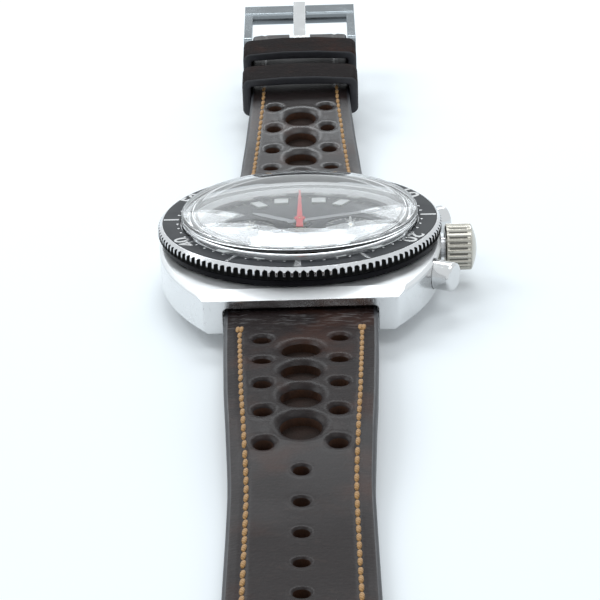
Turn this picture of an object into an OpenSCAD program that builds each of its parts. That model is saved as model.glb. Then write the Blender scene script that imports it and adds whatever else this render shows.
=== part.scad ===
// Chronograph wristwatch with a turning coin-edge bezel, on a perforated leather strap
// Millimetres, +Z up through the crystal, +X towards the crown, +Y towards 12 on the dial
// The origin is the middle of the flat case back, where the watch stands on a table

/* [Case] */
// Length of the case between its two flat end faces
case_l = 42.7; // [41:0.1:46]
// Width of the case through 3 and 9, without crown
case_w = 38.8; // [37.5:0.1:42]
// Width of each flat end face
corner_w = 25.4; // [24:0.1:28]
// Height of the end faces, from the underside to the crease
face_h = 4.5; // [4:0.1:6]
// Rise of the top deck above the crease
deck_rise = 0.8; // [0.2:0.02:1]
// Depth that the case back stands below the case
back_step = 2; // [1.6:0.1:3]
// Thickness of the case back's floor
back_floor = 0.9; // [0.6:0.05:1.2]
// Diameter of the space for the movement
bore_d = 31.2; // [30.6:0.1:32]
// Wall of the neck that carries the crystal and the bezel
neck_wall = 0.78; // [0.6:0.02:1]
// Height of the neck above the deck
neck_h = 2.2; // [2:0.02:3]

/* [Lugs and spring bars] */
// Strap width that fits between the lugs
lug_w = 20; // [18:0.5:20]
// Depth of each strap recess from the end face
lug_depth = 4.55; // [4.2:0.05:5.5]
// Thickness of the lip over the strap recess
lip_t = 1.05; // [0.4:0.05:1.2]
// Distance of each spring bar from the end face
bar_inset = 2.45; // [2.2:0.05:3]
// Height of the spring bars above the table
bar_z = 3.2; // [3:0.05:3.6]
// Diameter of a spring bar's tube
bar_d = 1.5; // [1.3:0.1:1.8]

/* [Bezel] */
// Outer diameter of the coin-edge bezel
bezel_d = 39; // [38.6:0.1:41]
// Height of the black ring below the bezel
friction_h = 0.98; // [0.8:0.02:1.6]
// Height of the coin edge
coin_h = 1.15; // [0.8:0.05:1.6]
// Height of the sloping rim above the coin edge
rim_h = 0.57; // [0.4:0.01:0.8]
// Diameter of the insert
insert_d = 37.74; // [37:0.02:38]
// Thickness of the insert
insert_t = 0.5; // [0.3:0.05:0.6]
// Number of flutes in the coin edge
flute_n = 120; // [80:4:140]
// Radius of one flute
flute_r = 0.4; // [0.3:0.01:0.42]
// Depth of one flute
flute_depth = 0.26; // [0.15:0.01:0.3]

/* [Crystal] */
// Thickness of the crystal's skirt
skirt_t = 1.2; // [0.9:0.05:1.4]
// Outward step of the crystal over the neck
flange_step = 0.48; // [0.3:0.02:0.6]
// Height of the crystal's straight wall above the neck
crystal_wall_h = 1.5; // [1:0.05:2]
// Rise of the dome above its shoulder
dome_rise = 2; // [1.2:0.1:3]
// Thickness of the dome
dome_t = 1.4; // [1:0.05:1.8]

/* [Dial and hands] */
// Thickness of the dial
dial_t = 0.4; // [0.3:0.05:0.6]
// Height of the ring between dial and crystal
flange_h = 0.3; // [0.2:0.05:0.6]
// Distance of the two small dials from the middle
sub_x = 7; // [6.9:0.05:7.2]
// Diameter of a small dial's sunken face
sub_d = 7.6; // [6.4:0.1:8.2]
// Length of the hour hand from the middle
hour_l = 8.2; // [6:0.1:9]
// Length of the minute hand from the middle
minute_l = 12.2; // [10:0.1:13]
// Length of the sweep hand from the middle
sweep_l = 13.2; // [11:0.1:13.5]
// Thickness of a hand
hand_t = 0.15; // [0.1:0.01:0.2]
// Height of the applied hour markers
marker_h = 0.22; // [0.1:0.02:0.3]

/* [Crown and pushers] */
// Height of the crown and pusher axes above the table
control_z = 5.1; // [5:0.05:5.3]
// Diameter of the crown
crown_d = 6.4; // [5:0.1:6.4]
// Length of the crown's fluted part
crown_l = 3.55; // [3:0.05:4.5]
// Rise of the crown's domed end
crown_dome = 0.84; // [0.3:0.02:1.2]
// Gap between case and crown
crown_gap = 0.54; // [0.3:0.02:1]
// Number of flutes on the crown
crown_n = 24; // [18:1:30]
// Distance that the crown pulls out
crown_pull = 1.2; // [0.8:0.1:1.2]
// Diameter of the winding stem
stem_d = 1; // [0.8:0.05:1.1]
// Angle of each pusher from the crown
push_a = 29; // [28:0.5:33]
// Diameter of a pusher's cap
push_d = 4; // [3.6:0.1:4.4]
// Length of a pusher's cap outside the case
push_out = 3.2; // [2.6:0.1:4]
// Travel of a pusher
push_travel = 0.8; // [0.5:0.05:0.8]

/* [Movement] */
// Diameter of the mainplate
plate_d = 30; // [29.4:0.1:30]
// Thickness of the mainplate
plate_t = 1.8; // [1.6:0.05:2]
// Space for the motion work between mainplate and dial
motion_h = 0.7; // [0.7:0.05:0.9]
// Space for the going train between mainplate and bridges
train_h = 1.75; // [1.75:0.05:1.9]
// Thickness of the bridges
bridge_t = 0.85; // [0.7:0.05:0.9]
// Thickness of a wheel
wheel_t = 0.17; // [0.12:0.01:0.18]
// Diameter of an arbor
arbor_d = 0.4; // [0.3:0.02:0.4]
// Diameter of a pivot
pivot_d = 0.24; // [0.16:0.02:0.26]

/* [Strap] */
// Width of the strap past its taper
tail_w = 16.4; // [15:0.1:17]
// Length from spring bar to tip of the long half
long_l = 118; // [112:1:125]
// Length from spring bar to buckle bar of the short half
short_l = 73; // [72:0.5:76]
// Thickness of the strap where it is padded, near the case
pad_t = 3.4; // [3:0.1:3.4]
// Thickness of the strap's thin part
thin_t = 2.5; // [2:0.1:2.6]
// Thickness of the upper leather
upper_t = 1.5; // [1:0.1:1.6]
// Step from one row of perforations to the next of its kind
perf_pitch = 7.25; // [6.8:0.05:7.3]
// Diameter of a large perforation
perf_big_d = 4.9; // [3.5:0.1:4.9]
// Diameter of a small perforation
perf_small_d = 2.2; // [1.6:0.1:2.4]
// Distance of the small perforations from the middle line
perf_x = 4.65; // [4.4:0.05:5]
// Diameter of an adjusting hole
adjust_d = 1.9; // [1.6:0.1:2.2]
// Step between adjusting holes
adjust_pitch = 6.5; // [6:0.1:6.6]
// Number of adjusting holes
adjust_n = 7; // [5:1:7]

/* [Keepers and buckle] */
// Length of a keeper along the strap
keeper_l = 5.5; // [5:0.1:7]
// Thickness of a keeper's leather
keeper_t = 1.3; // [0.8:0.05:1.4]
// Room for the strap's tail under a keeper
keeper_room = 1.1; // [0.9:0.1:2.6]
// Thickness of the buckle frame's front rail
frame_d = 2.2; // [1.6:0.1:2.4]
// Width of the buckle frame's front rail
frame_rail_w = 5; // [2.6:0.1:6]
// Reach of the buckle frame from its bar
frame_reach = 14.2; // [11:0.1:15]
// Diameter of the buckle's bar
buckle_bar_d = 1.5; // [1.2:0.1:1.6]
// Width of the tongue
tongue_w = 2.1; // [1.4:0.1:2.2]
// Thickness of the tongue
tongue_t = 1; // [0.8:0.1:1.2]

/* [Hidden] */

// Clearances
run = 0.05;      // radial, a shaft that turns or slides in a hole
seat = 0.01;     // radial, a piece pressed or screwed into its seat
face = 0.05;     // axial, between faces that move past each other
part_gap = 0.3;  // between bridges, and round the strap between the lugs
bar_reach = 1.5;  // least distance from the case back's edge to a spring bar
eps = 0.01;      // how far a cutter passes the surface it cuts
big = 80;        // longer than any piece of the case
smooth = 96;     // sides of large round work
fine = 32;       // sides of small round work

// Heights in the case, from the table up
crease_z = back_step + face_h;
deck_z = crease_z + deck_rise;
neck_top = deck_z + neck_h;
bezel_z = deck_z + friction_h + face;
coin_top = bezel_z + coin_h;
rim_z = coin_top + rim_h;
plate_z = 4.9;
plate_top = plate_z + plate_t;
dial_z = plate_top + motion_h;
face_z = dial_z + dial_t;
skirt_z = face_z + flange_h;
bridge_top = plate_z - train_h;
bridge_z = bridge_top - bridge_t;

// Radii of the case
bore_r = bore_d / 2;
skirt_r = bore_r + 0.2;
neck_r = skirt_r + seat + neck_wall;
bezel_bore_r = neck_r + run;
bezel_r = bezel_d / 2;
insert_r = insert_d / 2;
insert_hole_r = skirt_r + flange_step + 0.17;
friction_r = bezel_r - 0.4;
back_boss_r = bore_r + 0.6;
back_r = back_boss_r + 1.2;
back_top = back_step + 1.3;
side_rise = (case_w - corner_w) / 2;
side_r = (pow(case_l / 2, 2) + pow(side_rise, 2)) / (2 * side_rise);
side_x = case_w / 2 - side_r;
bar_y = max(case_l / 2 - bar_inset, back_r + bar_reach);
recess_w = lug_w + part_gap;
control_seat = max(case_w / 2, friction_r);

// Rim of the case: two flat ends joined by two arcs
module case_outline() {
    intersection() {
        square([case_w + 1, case_l], center = true);
        translate([side_x, 0]) circle(r = side_r, $fn = 180);
        translate([-side_x, 0]) circle(r = side_r, $fn = 180);
    }
}

// Case

// The deck falls towards both ends, and the edge over each side is bevelled
module case_block() {
    land = bezel_r - 0.4;
    half = case_l / 2;
    side_bevel = 0.4;
    difference() {
        intersection() {
            translate([0, 0, back_step]) linear_extrude(deck_z - back_step) case_outline();
            rotate([90, 0, 90]) translate([0, 0, -big / 2]) linear_extrude(big)
                polygon([
                    [-half, back_step - 1], [half, back_step - 1], [half, crease_z],
                    [land, deck_z], [-land, deck_z], [-half, crease_z]
                ]);
        }
        for (s = [-1, 1])
            translate([s * side_x, 0, 0]) rotate_extrude($fn = 180)
                polygon([
                    [side_r - side_bevel, deck_z + eps], [side_r + 1, deck_z + eps],
                    [side_r + 1, crease_z - 1], [side_r, deck_z - side_bevel]
                ]);
        for (s = [-1, 1])
            translate([s * side_x, 0, 0]) rotate_extrude($fn = 180)
                polygon([
                    [side_r - side_bevel, back_step - eps], [side_r + 1, back_step - eps],
                    [side_r + 1, back_step + 1], [side_r, back_step + side_bevel]
                ]);
    }
}

// Recess for the strap's head, open below, with rounded upper corners
module strap_recess() {
    top = crease_z - lip_t;
    corner = 0.6;
    half = recess_w / 2;
    rotate([90, 0, 0]) translate([0, 0, -big / 2]) linear_extrude(big / 2 - case_l / 2 + lug_depth)
        union() {
            translate([-half, 0]) square([recess_w, top - corner]);
            translate([corner - half, 0]) square([recess_w - 2 * corner, top]);
            for (s = [-1, 1]) translate([s * (half - corner), top - corner]) circle(r = corner, $fn = fine);
        }
}

module bar_hole() {
    hole_l = recess_w + 2 * tip_l + 0.4;
    rotate([0, 90, 0]) cylinder(d = tip_d + 2 * seat, h = hole_l, center = true, $fn = fine);
}

// A pusher's axis: x runs outwards from the middle
module at_pusher(a) {
    rotate([0, 0, a]) translate([0, 0, control_z]) rotate([0, 90, 0]) children();
}

module pusher_bore(a) {
    at_pusher(a) {
        translate([0, 0, bore_r - 1]) cylinder(r = push_tube_r + seat, h = big, $fn = fine);
        translate([0, 0, push_floor]) cylinder(r = push_d / 2 + push_run, h = big, $fn = 48);
    }
}

module mid_case() color("silver") {
    difference() {
        union() {
            case_block();
            translate([0, 0, deck_z - 1]) cylinder(r = neck_r, h = neck_top - deck_z + 1, $fn = smooth);
        }
        translate([0, 0, back_top + 0.1 - big]) cylinder(r = back_boss_r + seat, h = big, $fn = smooth);
        cylinder(r = bore_r, h = big, $fn = smooth);
        translate([0, 0, skirt_z]) cylinder(r = skirt_r + seat, h = big, $fn = smooth);
        translate([0, 0, wire_z - wire_d / 2 - 0.02]) rotate_extrude($fn = smooth)
            translate([neck_r + wire_out - wire_d / 2 - 0.02, 0]) square([wire_d, wire_d + 0.04]);
        strap_recess();
        rotate([0, 0, 180]) strap_recess();
        for (s = [-1, 1]) translate([0, s * bar_y, bar_z]) bar_hole();
        along_x(bore_r - 1) cylinder(r = tube_r + seat, h = big, $fn = fine);
        for (a = [-push_a, push_a]) pusher_bore(a);
    }
}

// Screwed case back with six key slots
module case_back() color("silver") {
    flat_r = back_r - 1.9;
    slot_w = 3;
    slot_h = 0.5;
    difference() {
        union() {
            rotate_extrude($fn = smooth) polygon([
                [0, 0], [flat_r, 0], [back_r - 0.2, back_step - 0.9], [back_r, back_step - 0.6],
                [back_r, back_step], [0, back_step]
            ]);
            cylinder(r = back_boss_r, h = back_top, $fn = smooth);
        }
        translate([0, 0, back_floor]) cylinder(r = bore_r - 0.7, h = big, $fn = smooth);
        translate([0, 0, back_step - gasket_t]) rotate_extrude($fn = smooth)
            translate([back_boss_r + 0.1, 0]) square([gasket_w, gasket_t + eps]);
        for (i = [0:5]) rotate([0, 0, i * 60 + 30])
            translate([flat_r - 0.4, -slot_w / 2, -eps]) cube([3, slot_w, slot_h]);
    }
}

gasket_t = 0.35;
gasket_w = 0.6;

module back_gasket() color("black")
    translate([0, 0, back_step - gasket_t]) rotate_extrude($fn = smooth)
        translate([back_boss_r + 0.12, 0]) square([gasket_w - 0.04, gasket_t]);

// Bezel

wire_d = 0.36;
wire_z = bezel_z + 0.6;
wire_out = 0.02;

// Its foot stands back, so that a pressed pusher's cap passes under its edge
module friction_ring() color("black") {
    foot_r = cap_in - push_travel - 0.2;
    foot_h = max(0.1, control_z + push_d / 2 + 0.15 - deck_z);
    edge = 0.15;
    translate([0, 0, deck_z]) rotate_extrude($fn = smooth)
        polygon([
            [neck_r + seat, 0], [foot_r, 0], [foot_r, foot_h], [friction_r - edge, foot_h],
            [friction_r, foot_h + edge], [friction_r, friction_h - edge],
            [friction_r - edge, friction_h], [neck_r + seat, friction_h]
        ]);
}

module bezel_wire() color("silver")
    translate([0, 0, wire_z]) rotate_extrude($fn = smooth)
        translate([neck_r + wire_out, 0]) circle(d = wire_d, $fn = 16);

// Each round-bottomed flute runs out on the sloping rim in an arch
module coin_edge() {
    difference() {
        circle(r = bezel_r, $fn = 180);
        for (i = [0:flute_n - 1]) rotate((i + 0.5) * 360 / flute_n)
            translate([bezel_r - flute_depth + flute_r, 0]) circle(r = flute_r, $fn = 16);
    }
}

module bezel_ring() color("gainsboro") {
    groove_h = wire_d + 2 * run;
    intersection() {
        rotate_extrude($fn = 180) polygon([
            [bezel_bore_r, bezel_z], [bezel_r - 0.35, bezel_z], [bezel_r, bezel_z + 0.2],
            [bezel_r, coin_top], [insert_r + 0.1, rim_z], [insert_r, rim_z],
            [insert_r, rim_z - insert_t], [bezel_bore_r, rim_z - insert_t],
            [bezel_bore_r, wire_z + groove_h / 2], [bezel_bore_r + wire_d / 2, wire_z + groove_h / 2],
            [bezel_bore_r + wire_d / 2, wire_z - groove_h / 2], [bezel_bore_r, wire_z - groove_h / 2]
        ]);
        translate([0, 0, bezel_z - 1]) linear_extrude(coin_h + rim_h + 2) coin_edge();
    }
}

module bezel_insert() color("black")
    translate([0, 0, rim_z - insert_t]) rotate_extrude($fn = smooth)
        polygon([
            [insert_hole_r, 0], [insert_r - seat, 0], [insert_r - seat, insert_t],
            [insert_r - 0.05, insert_t + 0.04], [insert_hole_r, insert_t + 0.04]
        ]);

// Crystal

// Points of an arc from the axis to radius r that falls by rise
function dome_pts(r, rise, top, n) =
    let (R = (r * r + rise * rise) / (2 * rise))
    [for (i = [0:n]) let (x = r * i / n) [x, top - R + sqrt(R * R - x * x)]];

module crystal() color([0.8, 0.9, 0.95, 0.35]) {
    flange_r = skirt_r + flange_step;
    shoulder_z = neck_top + face + crystal_wall_h;
    apex = shoulder_z + 0.5 + dome_rise;
    inner_r = skirt_r - skirt_t;
    outer = dome_pts(flange_r - 0.8, dome_rise, apex, 14);
    inner = dome_pts(inner_r - 0.3, dome_rise - 0.2, apex - dome_t, 14);
    rotate_extrude($fn = smooth) polygon(concat(
        outer,
        [[flange_r - 0.3, shoulder_z + 0.3], [flange_r, shoulder_z - 0.3], [flange_r, neck_top],
         [skirt_r, neck_top], [skirt_r, skirt_z], [inner_r, skirt_z],
         [inner_r, inner[14][1] - 0.6]],
        [for (i = [14:-1:0]) inner[i]]
    ));
}

// Metal ring that braces the crystal's skirt against the neck
module crystal_ring() color("silver")
    rotate_extrude($fn = smooth) polygon([
        [tension_r - 0.65, skirt_z], [tension_r, skirt_z], [tension_r, neck_top - 0.1],
        [tension_r - 0.3, neck_top - 0.1], [tension_r - 0.65, skirt_z + 0.5]
    ]);

tension_r = skirt_r - skirt_t - seat;

// Dial

module dial_flange() color("dimgray")
    rotate_extrude($fn = smooth) polygon([
        [tension_r - 0.6, face_z], [bore_r - seat, face_z],
        [bore_r - seat, skirt_z], [tension_r - 0.5, skirt_z]
    ]);

module dial() color([0.12, 0.12, 0.13])
    difference() {
        translate([0, 0, dial_z]) cylinder(r = bore_r - 0.05, h = dial_t, $fn = smooth);
        translate([0, 0, dial_z - 1]) cylinder(r = hour_pipe_r + run, h = 3, $fn = fine);
        for (s = [-1, 1]) translate([s * sub_x, 0, 0]) {
            translate([0, 0, dial_z - 1]) cylinder(d = arbor_d + 2 * run, h = 3, $fn = fine);
            translate([0, 0, face_z - 0.08]) cylinder(d = sub_d, h = 1, $fn = 64);
        }
    }

// Applied blocks at the hours that the small dials leave free, a pair at 12
module hour_markers() color("white") {
    inner = 10.5;
    outer = 13.1;
    w = 1.5;
    top_w = 2;   // each of the pair at 12
    top_x = 2.7; // its distance from the middle line
    for (h = [1, 2, 4, 5, 6, 7, 8, 10, 11]) rotate([0, 0, 90 - 30 * h])
        translate([inner, -w / 2, face_z]) cube([outer - inner, w, marker_h]);
    for (s = [-1, 1]) rotate([0, 0, 90])
        translate([inner, s * top_x - top_w / 2, face_z]) cube([outer - inner - 0.4, top_w, marker_h]);
}

// Hands

hour_hand_z = face_z + 0.5;
minute_hand_z = hour_hand_z + hand_t + 0.25;
sweep_hand_z = minute_hand_z + hand_t + 0.25;
sub_hand_z = face_z + 0.12;

// Baton of width w with a tapered end and a short tail
module hand(l, w, tip_w, tail, boss_r, hole_r) {
    difference() {
        union() {
            polygon([[-tail, -w / 2], [l * 0.8, -w / 2], [l, -tip_w / 2],
                     [l, tip_w / 2], [l * 0.8, w / 2], [-tail, w / 2]]);
            circle(r = boss_r, $fn = fine);
        }
        circle(r = hole_r, $fn = fine);
    }
}

// The hands show twelve minutes past ten
shown_h = 10;
shown_min = 12;

module hour_hand() color("white")
    translate([0, 0, hour_hand_z]) rotate([0, 0, 90 - 30 * (shown_h + shown_min / 60)])
        linear_extrude(hand_t) hand(hour_l, 1.1, 0.4, 1.6, hour_pipe_r + 0.35, hour_pipe_r + seat);

module minute_hand() color("white")
    translate([0, 0, minute_hand_z]) rotate([0, 0, 90 - 6 * shown_min]) linear_extrude(hand_t)
        hand(minute_l, 1, 0.3, 1.8, cannon_pipe_r + 0.35, cannon_pipe_r + seat);

// Tapered needle with a short counterweight
module sweep_hand() color("red") {
    tail = 3.4;
    translate([0, 0, sweep_hand_z]) rotate([0, 0, 90]) linear_extrude(hand_t)
        difference() {
            union() {
                polygon([[-tail, -0.5], [0, -0.4], [sweep_l, -0.12],
                         [sweep_l, 0.12], [0, 0.4], [-tail, 0.5]]);
                circle(r = 0.75, $fn = fine);
            }
            circle(d = arbor_d + 2 * seat, $fn = fine);
        }
}

module sub_hand(x, a) {
    translate([x, 0, sub_hand_z]) rotate([0, 0, a]) linear_extrude(hand_t)
        hand(sub_d / 2 - 0.5, 0.36, 0.16, 1, 0.45, arbor_d / 2 + seat);
}

module seconds_hand() color("white") sub_hand(-sub_x, 200);
module counter_hand() color("white") sub_hand(sub_x, 90);

// Movement

module movement_ring() color("slategray")
    difference() {
        rotate_extrude($fn = smooth) polygon([
            [plate_r + seat, back_top + 0.3], [bore_r - seat, back_top + 0.3],
            [bore_r - seat, dial_z], [plate_r - 0.5, dial_z],
            [plate_r - 0.5, plate_top], [plate_r + seat, plate_top]
        ]);
        along_x(0) cylinder(r = tube_r + 0.1, h = big, $fn = fine);
        for (a = [-push_a, push_a]) at_pusher(a) cylinder(r = push_tube_r, h = big, $fn = fine);
    }

plate_r = plate_d / 2;
hour_pipe_r = 0.95;
cannon_pipe_r = 0.7;
centre_r = 0.42;

function polar(r, a) = r * [cos(a), sin(a)];

// Toothed outline with n teeth of module m, one tooth lying along +X
function teeth(n, m, share) =
    let (r = n * m / 2, tip = r + 0.8 * m, root = r - 1.1 * m, p = 360 / n)
    [for (i = [0:n - 1]) for (c = [[root, -0.28], [r, -share], [tip, -share * 0.45],
                                    [tip, share * 0.45], [r, share], [root, 0.28]])
        polar(c[0], (i + c[1]) * p)];

// Going train, by arbor: centre, third, fourth, escape, pallet, balance
train_m = 0.1;
barrel_m = 0.12;
escape_m = 0.09;
centre_n = 80;
third_pinion_n = 10;
third_n = 75;
fourth_pinion_n = 10;
fourth_n = 70;
escape_pinion_n = 7;
barrel_n = 72;
centre_pinion_n = 12;
cannon_n = 12;
minute_n = 36;
minute_pinion_n = 10;
hour_n = 40;
motion_d = 3.6;
sweep_n = 72;
counter_n = 60;
small_n = 48;
small_m = 0.09;
cannon_m = 2 * motion_d / (cannon_n + minute_n);
hour_m = 2 * motion_d / (minute_pinion_n + hour_n);

function mesh(a, b, m) = (a + b) * m / 2;
d_ct = mesh(centre_n, third_pinion_n, train_m);
d_tf = mesh(third_n, fourth_pinion_n, train_m);
third_x = -(sub_x * sub_x + d_ct * d_ct - d_tf * d_tf) / (2 * sub_x);
third_p = [third_x, sqrt(d_ct * d_ct - third_x * third_x)];
fourth_p = [-sub_x, 0];
escape_a = -75;
escape_p = fourth_p + polar(mesh(fourth_n, escape_pinion_n, escape_m), escape_a);
balance_p = [-3.2, -10];
balance_r = 4;
pallet_p = escape_p + 2.35 * (balance_p - escape_p) / norm(balance_p - escape_p);
barrel_a = -46;
barrel_p = polar(mesh(barrel_n, centre_pinion_n, barrel_m), barrel_a);
counter_p = [sub_x, 0];
minute_p = [0, motion_d];

function dir(p, q) = atan2(q[1] - p[1], q[0] - p[0]);

// Levels in the train, from the bridges up to the mainplate
level_a = bridge_top + 0.15;
level_b = level_a + 0.33;
level_c = level_b + 0.55;
chrono_z = 1.55;

module at(p) translate([p[0], p[1], 0]) children();

// Spoked wheel with its hub
module wheel(n, m, phase, rim, spokes, hub_r, bore_r_) {
    inner = n * m / 2 - 1.1 * m - rim;
    difference() {
        rotate(phase) polygon(teeth(n, m, 0.2));
        difference() {
            circle(r = inner, $fn = 64);
            circle(r = hub_r, $fn = fine);
            for (i = [0:spokes - 1]) rotate((i + 0.3) * 360 / spokes)
                translate([0, -0.2]) square([inner + rim / 2, 0.4]);
        }
        circle(r = bore_r_, $fn = fine);
    }
}

module pinion(n, m, phase, bore) {
    difference() {
        rotate(phase) polygon(teeth(n, m, 0.17));
        circle(r = bore, $fn = fine);
    }
}

// Arbor from z0 to z1 with a thinner pivot at each end
module arbor(z0, z1, lower_pivot, upper_pivot) {
    translate([0, 0, z0]) cylinder(d = arbor_d, h = z1 - z0, $fn = fine);
    translate([0, 0, z0 - lower_pivot]) cylinder(d = pivot_d, h = lower_pivot + eps, $fn = fine);
    translate([0, 0, z1 - eps]) cylinder(d = pivot_d, h = upper_pivot + eps, $fn = fine);
}

module pivot_hole(p, d) at(p) translate([0, 0, -1]) cylinder(d = d + 2 * run, h = 12, $fn = fine);

// Groove in the plate for the stem, wider round the stem's pinion
module keyless_slot() {
    groove = stem_d + 4 * run;
    along_x(stem_x - 0.3) cylinder(d = groove, h = 10, $fn = fine);
    translate([stem_x - 0.3, -groove / 2, control_z - 2]) cube([10, groove, 2]);
    along_x(pinion_x - 0.2)
        cylinder(r = stem_pinion_r + run, h = stem_pinion_l + crown_pull + 0.4, $fn = fine);
}

stem_x = 8.9;
pinion_x = 10;
stem_pinion_r = 1;
stem_pinion_l = 1.8;

// Carries the train below, and above it a post for the minute wheel
module mainplate() color("khaki")
    difference() {
        union() {
            translate([0, 0, plate_z]) cylinder(r = plate_r, h = plate_t, $fn = smooth);
            at(minute_p) translate([0, 0, plate_top - eps])
                cylinder(r = post_r, h = motion_h - face, $fn = fine);
        }
        pivot_hole([0, 0], 2 * centre_r);
        for (p = [fourth_p, counter_p]) pivot_hole(p, arbor_d);
        for (p = [third_p, escape_p, pallet_p, balance_p]) pivot_hole(p, pivot_d);
        pivot_hole(barrel_p, barrel_pivot_d);
        for (p = screw_p) pivot_hole(p, screw_d - 2 * run + 2 * seat);
        keyless_slot();
        for (a = [-push_a, push_a]) at_pusher(a)
            translate([0, 0, plate_r - 1.3]) cylinder(r = push_stem_r + 0.4, h = 4, $fn = fine);
    }

post_r = 0.3;
barrel_pivot_d = 0.7;
screw_d = 0.6;
screw_head_d = 1.3;
foot_r0 = plate_r - 2.6;
foot_r1 = plate_r - 0.4;
function rim_point(a) = polar((foot_r0 + foot_r1) / 2, a);
barrel_screws = [rim_point(-40), rim_point(50)];
train_screws = [rim_point(115), rim_point(190)];
cock_screws = [rim_point(-134)];
screw_p = concat(barrel_screws, train_screws, cock_screws);

// Flat bridge over an area of the plate, with a foot along the rim
module bridge(area, foot_area, screws) {
    difference() {
        union() {
            translate([0, 0, bridge_z]) linear_extrude(bridge_t)
                intersection() { circle(r = foot_r1, $fn = smooth); polygon(area); }
            translate([0, 0, bridge_z + bridge_t]) linear_extrude(train_h)
                intersection() {
                    difference() { circle(r = foot_r1, $fn = smooth); circle(r = foot_r0, $fn = smooth); }
                    polygon(foot_area);
                }
        }
        for (p = screws) pivot_hole(p, screw_d - 2 * run + 2 * seat);
        children();
    }
}

split_x = 1;

module barrel_bridge() color("khaki")
    bridge(
        [[split_x + part_gap / 2, 16], [split_x + part_gap / 2, -2.1],
         [-0.7, -5.2], [-0.7, -16], [16, -16], [16, 16]],
        [[6, 16], [6, 3], [16, 3], [16, -3], [6, -3], [4, -16], [20, -16], [20, 16]],
        barrel_screws
    ) {
        pivot_hole(barrel_p, barrel_arbor_d);
        pivot_hole(counter_p, arbor_d);
    }

module train_bridge() color("khaki")
    bridge(
        [[split_x - part_gap / 2, 16], [split_x - part_gap / 2, -2],
         [-2.4, -6.6], [-16, -6.6], [-16, 16]],
        [[-2, 16], [-2, 3], [-10, -4], [-16, -4], [-16, 16]],
        train_screws
    ) {
        pivot_hole([0, 0], 2 * centre_r);
        pivot_hole(fourth_p, arbor_d);
        for (p = [third_p, escape_p, pallet_p]) pivot_hole(p, pivot_d);
    }

// Bar with round ends from p to q
module link(p, q, r0, r1) {
    d = norm(q - p);
    translate(p) circle(r = r0, $fn = fine);
    translate(q) circle(r = r1, $fn = fine);
    translate(p) rotate(dir(p, q)) polygon([[0, -r0], [d, -r1], [d, r1], [0, r0]]);
}

module balance_cock() color("khaki")
    difference() {
        union() {
            translate([0, 0, bridge_z]) linear_extrude(bridge_t) link(balance_p, cock_screws[0], 1.1, 1.1);
            at(cock_screws[0]) translate([0, 0, bridge_z])
                cylinder(r = 1.1, h = train_h + bridge_t, $fn = fine);
        }
        pivot_hole(balance_p, pivot_d);
        for (p = cock_screws) pivot_hole(p, screw_d - 2 * run + 2 * seat);
    }

// Carries the two chronograph wheels, on three pillars
chrono_bridge_t = 0.3;
chrono_bridge_z = back_floor + 0.15;
pillar_p = [[-2.6, 5.2], [7.2, 5.6], [9, -5.6]];

module chronograph_bridge() color("silver")
    difference() {
        union() {
            translate([0, 0, chrono_bridge_z]) linear_extrude(chrono_bridge_t) {
                link([0, 0], counter_p, 1, 1);
                link([0, 0], pillar_p[0], 1, 0.8);
                link(counter_p, pillar_p[1], 1, 0.8);
                link(counter_p, pillar_p[2], 1, 0.8);
            }
            for (p = pillar_p) at(p) translate([0, 0, chrono_bridge_z])
                cylinder(r = 0.8, h = bridge_z - chrono_bridge_z, $fn = fine);
        }
        pivot_hole([0, 0], pivot_d);
        pivot_hole(counter_p, pivot_d);
    }

module plate_screws() color("steelblue")
    for (p = screw_p) at(p) difference() {
        union() {
            translate([0, 0, bridge_z - 0.35]) cylinder(d = screw_head_d, h = 0.35, $fn = fine);
            translate([0, 0, bridge_z - eps]) cylinder(d = screw_d, h = bridge_t + train_h + 1, $fn = fine);
        }
        translate([-1, -0.1, bridge_z - 0.35 - eps]) cube([2, 0.2, 0.15]);
    }

// Train

barrel_arbor_d = 1;
drum_r = 3.9;
barrel_z = level_b;

module barrel() color("goldenrod")
    at(barrel_p) difference() {
        union() {
            translate([0, 0, barrel_z]) linear_extrude(0.36)
                rotate(dir(barrel_p, [0, 0])) polygon(teeth(barrel_n, barrel_m, 0.2));
            translate([0, 0, barrel_z]) cylinder(r = drum_r, h = plate_z - barrel_z - 0.15, $fn = 64);
        }
        cylinder(d = barrel_arbor_d + 2 * run, h = 12, $fn = fine);
    }

// Winding wheel on the barrel's arbor, behind the bridge
module ratchet_wheel() color("silver") {
    n = 42;
    at(barrel_p) {
        translate([0, 0, bridge_z - 0.25]) linear_extrude(0.2)
            polygon([for (i = [0:n - 1], c = [[3.2, 0], [2.8, 0.1]]) polar(c[0], (i + c[1]) * 360 / n)]);
        translate([0, 0, bridge_z - 0.06])
            cylinder(d = barrel_arbor_d, h = plate_z - bridge_z - 0.04, $fn = fine);
        translate([0, 0, plate_z - 0.11]) cylinder(d = barrel_pivot_d, h = 1, $fn = fine);
    }
}

module centre_wheel() color("gold")
    difference() {
        union() {
            translate([0, 0, level_a]) linear_extrude(wheel_t)
                wheel(centre_n, train_m, dir([0, 0], third_p), 0.45, 5, 0.9, 0.2);
            translate([0, 0, level_b]) linear_extrude(0.4)
                pinion(centre_pinion_n, barrel_m, dir([0, 0], barrel_p) + 180 / centre_pinion_n, 0.2);
            translate([0, 0, bridge_z]) cylinder(r = centre_r, h = dial_z - bridge_z, $fn = fine);
        }
        cylinder(d = arbor_d + 2 * run, h = 20, $fn = fine);
    }

module third_wheel() color("gold")
    at(third_p) {
        translate([0, 0, level_a - 0.05]) linear_extrude(wheel_t + 0.1)
            pinion(third_pinion_n, train_m, dir(third_p, [0, 0]) + 180 / third_pinion_n, 0.1);
        translate([0, 0, level_c]) linear_extrude(wheel_t)
            wheel(third_n, train_m, dir(third_p, fourth_p), 0.4, 5, 0.6, 0.1);
        arbor(bridge_top + face, plate_z - face, 0.6, 0.6);
    }

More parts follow.
